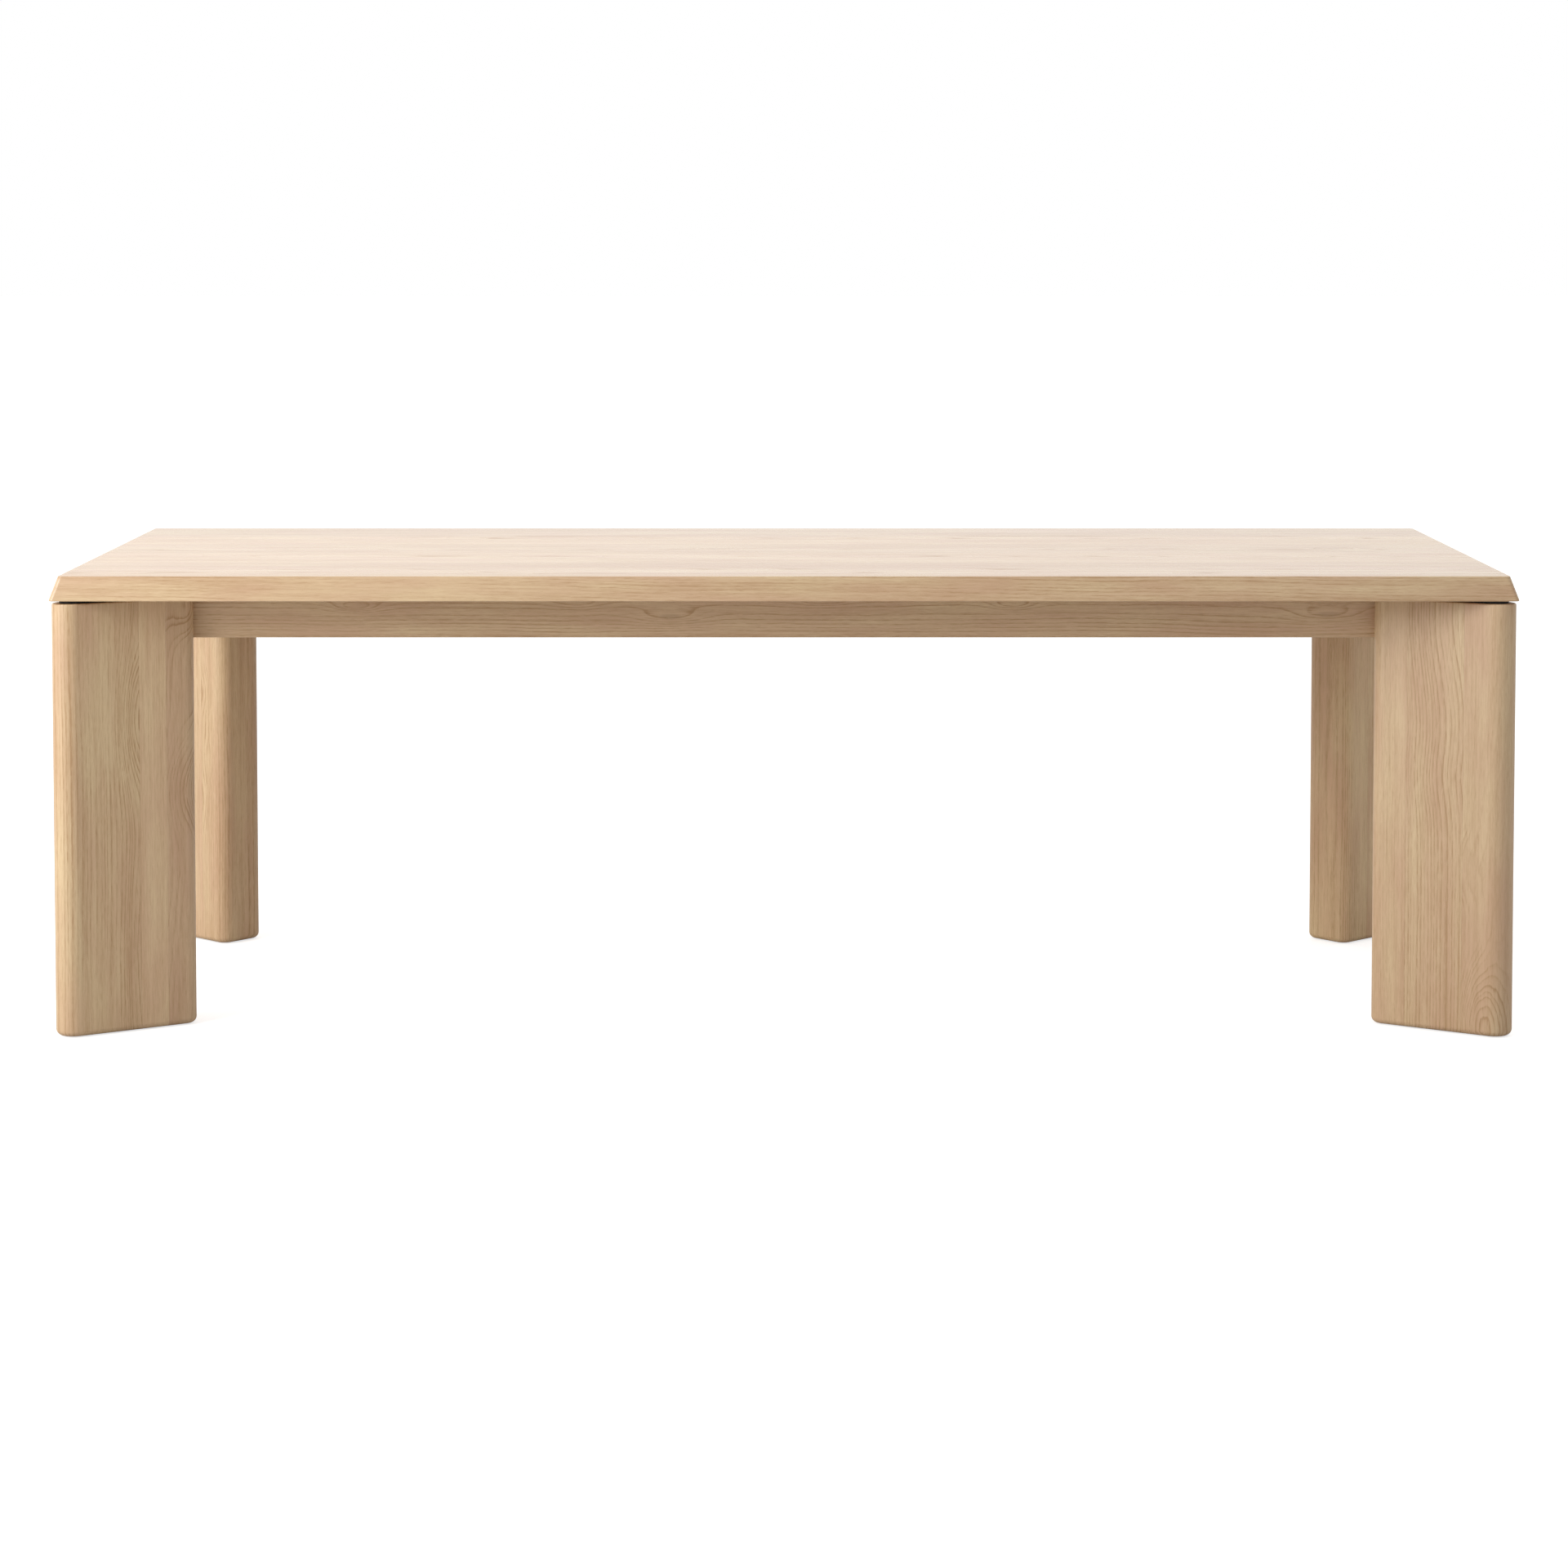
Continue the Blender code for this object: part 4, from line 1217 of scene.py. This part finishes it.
def make_fasteners(corner, zinc, board_holes):
    """Screws down into the leg and bolts up into the top."""
    for k, distance in enumerate(LEG_SCREWS, 1):
        name = f"leg_screw_{corner}_{k}"
        place = axis_place(corner, distance) + Vector((0, 0, UNDERSIDE - 2 * FIT_GAP))
        add_zinc(name, moved(loft(name, leg_screw_rings()), place), zinc)
    for k, (x, y) in enumerate(PLATE_BOLTS, 1):
        name = f"plate_bolt_{corner}_{k}"
        place = corner_place(corner, x, y) + Vector((0, 0, LEG_TOP))
        add_zinc(name, moved(loft(name, plate_bolt_rings()), place), zinc)
        profile = ((HOLE_RADIUS, -OVERCUT), (HOLE_RADIUS, PLATE_BOLT_HOLE_DEPTH))
        board_holes[board_index(place.y)].append(moved(turned("bolt_hole", profile), place))


# ---- levelling feet


def insert_rings():
    """Outside and inside rings of the sleeve, from its lower end to its upper end."""
    low = RECESS_TOP + FIT_GAP
    high = RECESS_TOP + INSERT_LENGTH
    outside, inside = [], []
    for row in range(INSERT_ROWS + 1):
        share = row / INSERT_ROWS
        z = low + (high - low) * share
        knurl = KNURL_DEPTH if KNURL_SPAN[0] < share < KNURL_SPAN[1] else 0.0
        ring_out, ring_in = [], []
        for k in range(ROUND):
            turn = k / ROUND
            bore = BORE_RADIUS + BORE_THREAD_DEPTH * ridge(z, turn, THREAD_PITCH)
            ring_out.append(polar(INSERT_RADIUS - knurl * (k % 2), turn, z))
            ring_in.append(polar(bore, turn, z))
        outside.append(ring_out)
        inside.append(ring_in)
    return outside, inside


def insert_mesh(name):
    """Threaded steel sleeve: knurled outside, with a threaded open bore."""
    outside, inside = insert_rings()
    shape = loft_shape([*outside, *reversed(inside)], hollow=True)
    return finish_mesh(name, shape, INSERT_SHARP_ANGLE)


def stud_mesh(name):
    """M8 stud with a chamfered hexagon collar and a ball end that sits in the pad."""
    rings = []
    for k in range(1, BALL_STEPS + 1):
        turn = math.pi * (BALL_SPAN[0] + BALL_SPAN[1] * k / BALL_STEPS)
        height = BALL_CENTRE - BALL_HEIGHT * math.cos(turn)
        rings.append(round_ring(BALL_RADIUS * math.sin(turn), height))
    rings.append(round_ring(STUD_NECK_RADIUS, COLLAR_LOW))
    for chamfer, height in (
        (COLLAR_CHAMFER_FLATS, COLLAR_LOW),
        (0, COLLAR_LOW + COLLAR_CHAMFER_HEIGHT),
        (0, COLLAR_HIGH - COLLAR_CHAMFER_HEIGHT),
        (COLLAR_CHAMFER_FLATS, COLLAR_HIGH),
    ):
        rings.append(hexagon_ring(COLLAR_FLATS - chamfer, height))
    rings.append(round_ring(THREAD_RADIUS - FIT_GAP, COLLAR_HIGH))
    rings += machine_thread(COLLAR_HIGH + FIT_GAP, STUD_TOP - END_CHAMFER, 8)
    rings.append(round_ring(THREAD_RADIUS - END_CHAMFER, STUD_TOP))
    return loft(name, rings)


def pad_mesh(name):
    """Round nylon pad with a rounded rim, a shoulder and a socket for the stud's ball end."""
    profile = [
        (SOCKET_RADIUS - 0.0008, SOCKET_FLOOR),
        (SOCKET_RADIUS, SOCKET_FLOOR + 0.0005),
        (SOCKET_RADIUS, PAD_HEIGHT - PAD_EASE),
        (SOCKET_RADIUS + PAD_EASE, PAD_HEIGHT),
        (PAD_LEDGE_RADIUS, PAD_HEIGHT),
    ]
    for turn in quarter_turn(DOME_STEPS):
        radius = PAD_RADIUS - PAD_RIM_RADIUS * (1 - math.sin(turn))
        height = PAD_HEIGHT - PAD_EASE - PAD_RIM_DROP * (1 - math.cos(turn))
        profile.append((radius, height))
    profile += [(PAD_RADIUS, 0.0012), (PAD_RADIUS - 0.0004, 0.0004), (PAD_RADIUS - 0.0012, 0)]
    return turned(name, profile)


def make_foot(corner, zinc, black):
    """A levelling foot: the sleeve stays in the leg, the stud and the pad move."""
    place = axis_place(corner, FOOT_PLACE)
    name = f"foot_insert_{corner}"
    add_zinc(name, moved(insert_mesh(name), place), zinc)
    name = f"foot_stud_{corner}"
    add_zinc(name, moved(stud_mesh(name), place), zinc, f"stud_{corner}")
    name = f"foot_pad_{corner}"
    add_piece(name, moved(pad_mesh(name), place), black, f"pad_{corner}")


# ---- stage, light and camera


def make_floor():
    """A plain pale floor that looks white and keeps a faint shadow of the table."""
    shape = bmesh.new()
    bmesh.ops.create_grid(shape, x_segments=1, y_segments=1, size=FLOOR_SIZE)
    floor = bpy.data.objects.new("floor", finish_mesh("floor", shape))
    bpy.context.scene.collection.objects.link(floor)
    nodes = Material("floor")
    nodes.set("Base Color", (FLOOR_BOUNCE, FLOOR_BOUNCE, FLOOR_BOUNCE))
    nodes.set("Roughness", FLOOR_ROUGHNESS)
    nodes.set("Specular IOR Level", 0.0)
    nodes.set("Emission Color", (1.0, 1.0, 1.0))
    nodes.set("Emission Strength", nodes.math("MULTIPLY", nodes.from_camera(), FLOOR_WHITENESS))
    floor.data.materials.append(nodes.material)


def make_world():
    """A studio surround with a brightness for each side, white where the camera sees it."""
    world = bpy.data.worlds.new("surround")
    bpy.context.scene.world = world
    world.use_nodes = True
    nodes = Nodes(world.node_tree)
    direction = nodes.separate(nodes.coordinates("Generated"))
    light = 0.0
    for axis, sign, brightness in SURROUND.values():
        facing = nodes.math("MAXIMUM", nodes.math("MULTIPLY", direction[axis], sign), 0.0)
        light = nodes.math("MULTIPLY_ADD", nodes.math("MULTIPLY", facing, facing), brightness, light)
    seen = nodes.from_camera()
    hidden = nodes.math("SUBTRACT", 1.0, seen)
    strength = nodes.math("MULTIPLY_ADD", hidden, light, seen)
    background = nodes.tree.nodes["Background"]
    background.inputs["Color"].default_value = (1, 1, 1, 1)
    nodes.feed(background.inputs["Strength"], strength)


def make_key_light():
    """A large soft box at the left front."""
    data = bpy.data.lights.new("key", "AREA")
    data.shape = "RECTANGLE"
    data.size, data.size_y = KEY_SIZE
    data.energy = KEY_POWER
    lamp = bpy.data.objects.new("key", data)
    lamp.location = KEY_PLACE
    aim = Vector(KEY_TARGET) - Vector(KEY_PLACE)
    lamp.rotation_euler = aim.to_track_quat("-Z", "Y").to_euler()
    bpy.context.scene.collection.objects.link(lamp)


def make_camera():
    """A long lens at standing height, shifted so that the table sits above the middle."""
    data = bpy.data.cameras.new("camera")
    data.lens = CAMERA_LENS
    data.sensor_width = CAMERA_SENSOR
    data.shift_y = CAMERA_SHIFT
    camera = bpy.data.objects.new("camera", data)
    camera.location = CAMERA_PLACE
    camera.rotation_euler = (math.pi / 2 - CAMERA_PITCH, 0, 0)
    bpy.context.scene.collection.objects.link(camera)
    bpy.context.scene.camera = camera


# ---- assembly


def main():
    """Build the looks round the frame."""
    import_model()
    bpy.context.scene.view_settings.view_transform = "Standard"
    zinc = brushed_zinc("zinc_steel")
    coat = powder_coat("black_steel")
    black = nylon("foot_nylon")
    board_holes = [[] for _ in BOARD_LOOKS]
    make_rails()
    make_bearers(zinc, board_holes)
    for corner in CORNERS:
        make_staves(corner)
        make_plate(corner, coat)
        make_fasteners(corner, zinc, board_holes)
        make_foot(corner, zinc, black)
    make_top(board_holes)
    make_floor()
    make_world()
    make_key_light()
    make_camera()


main()
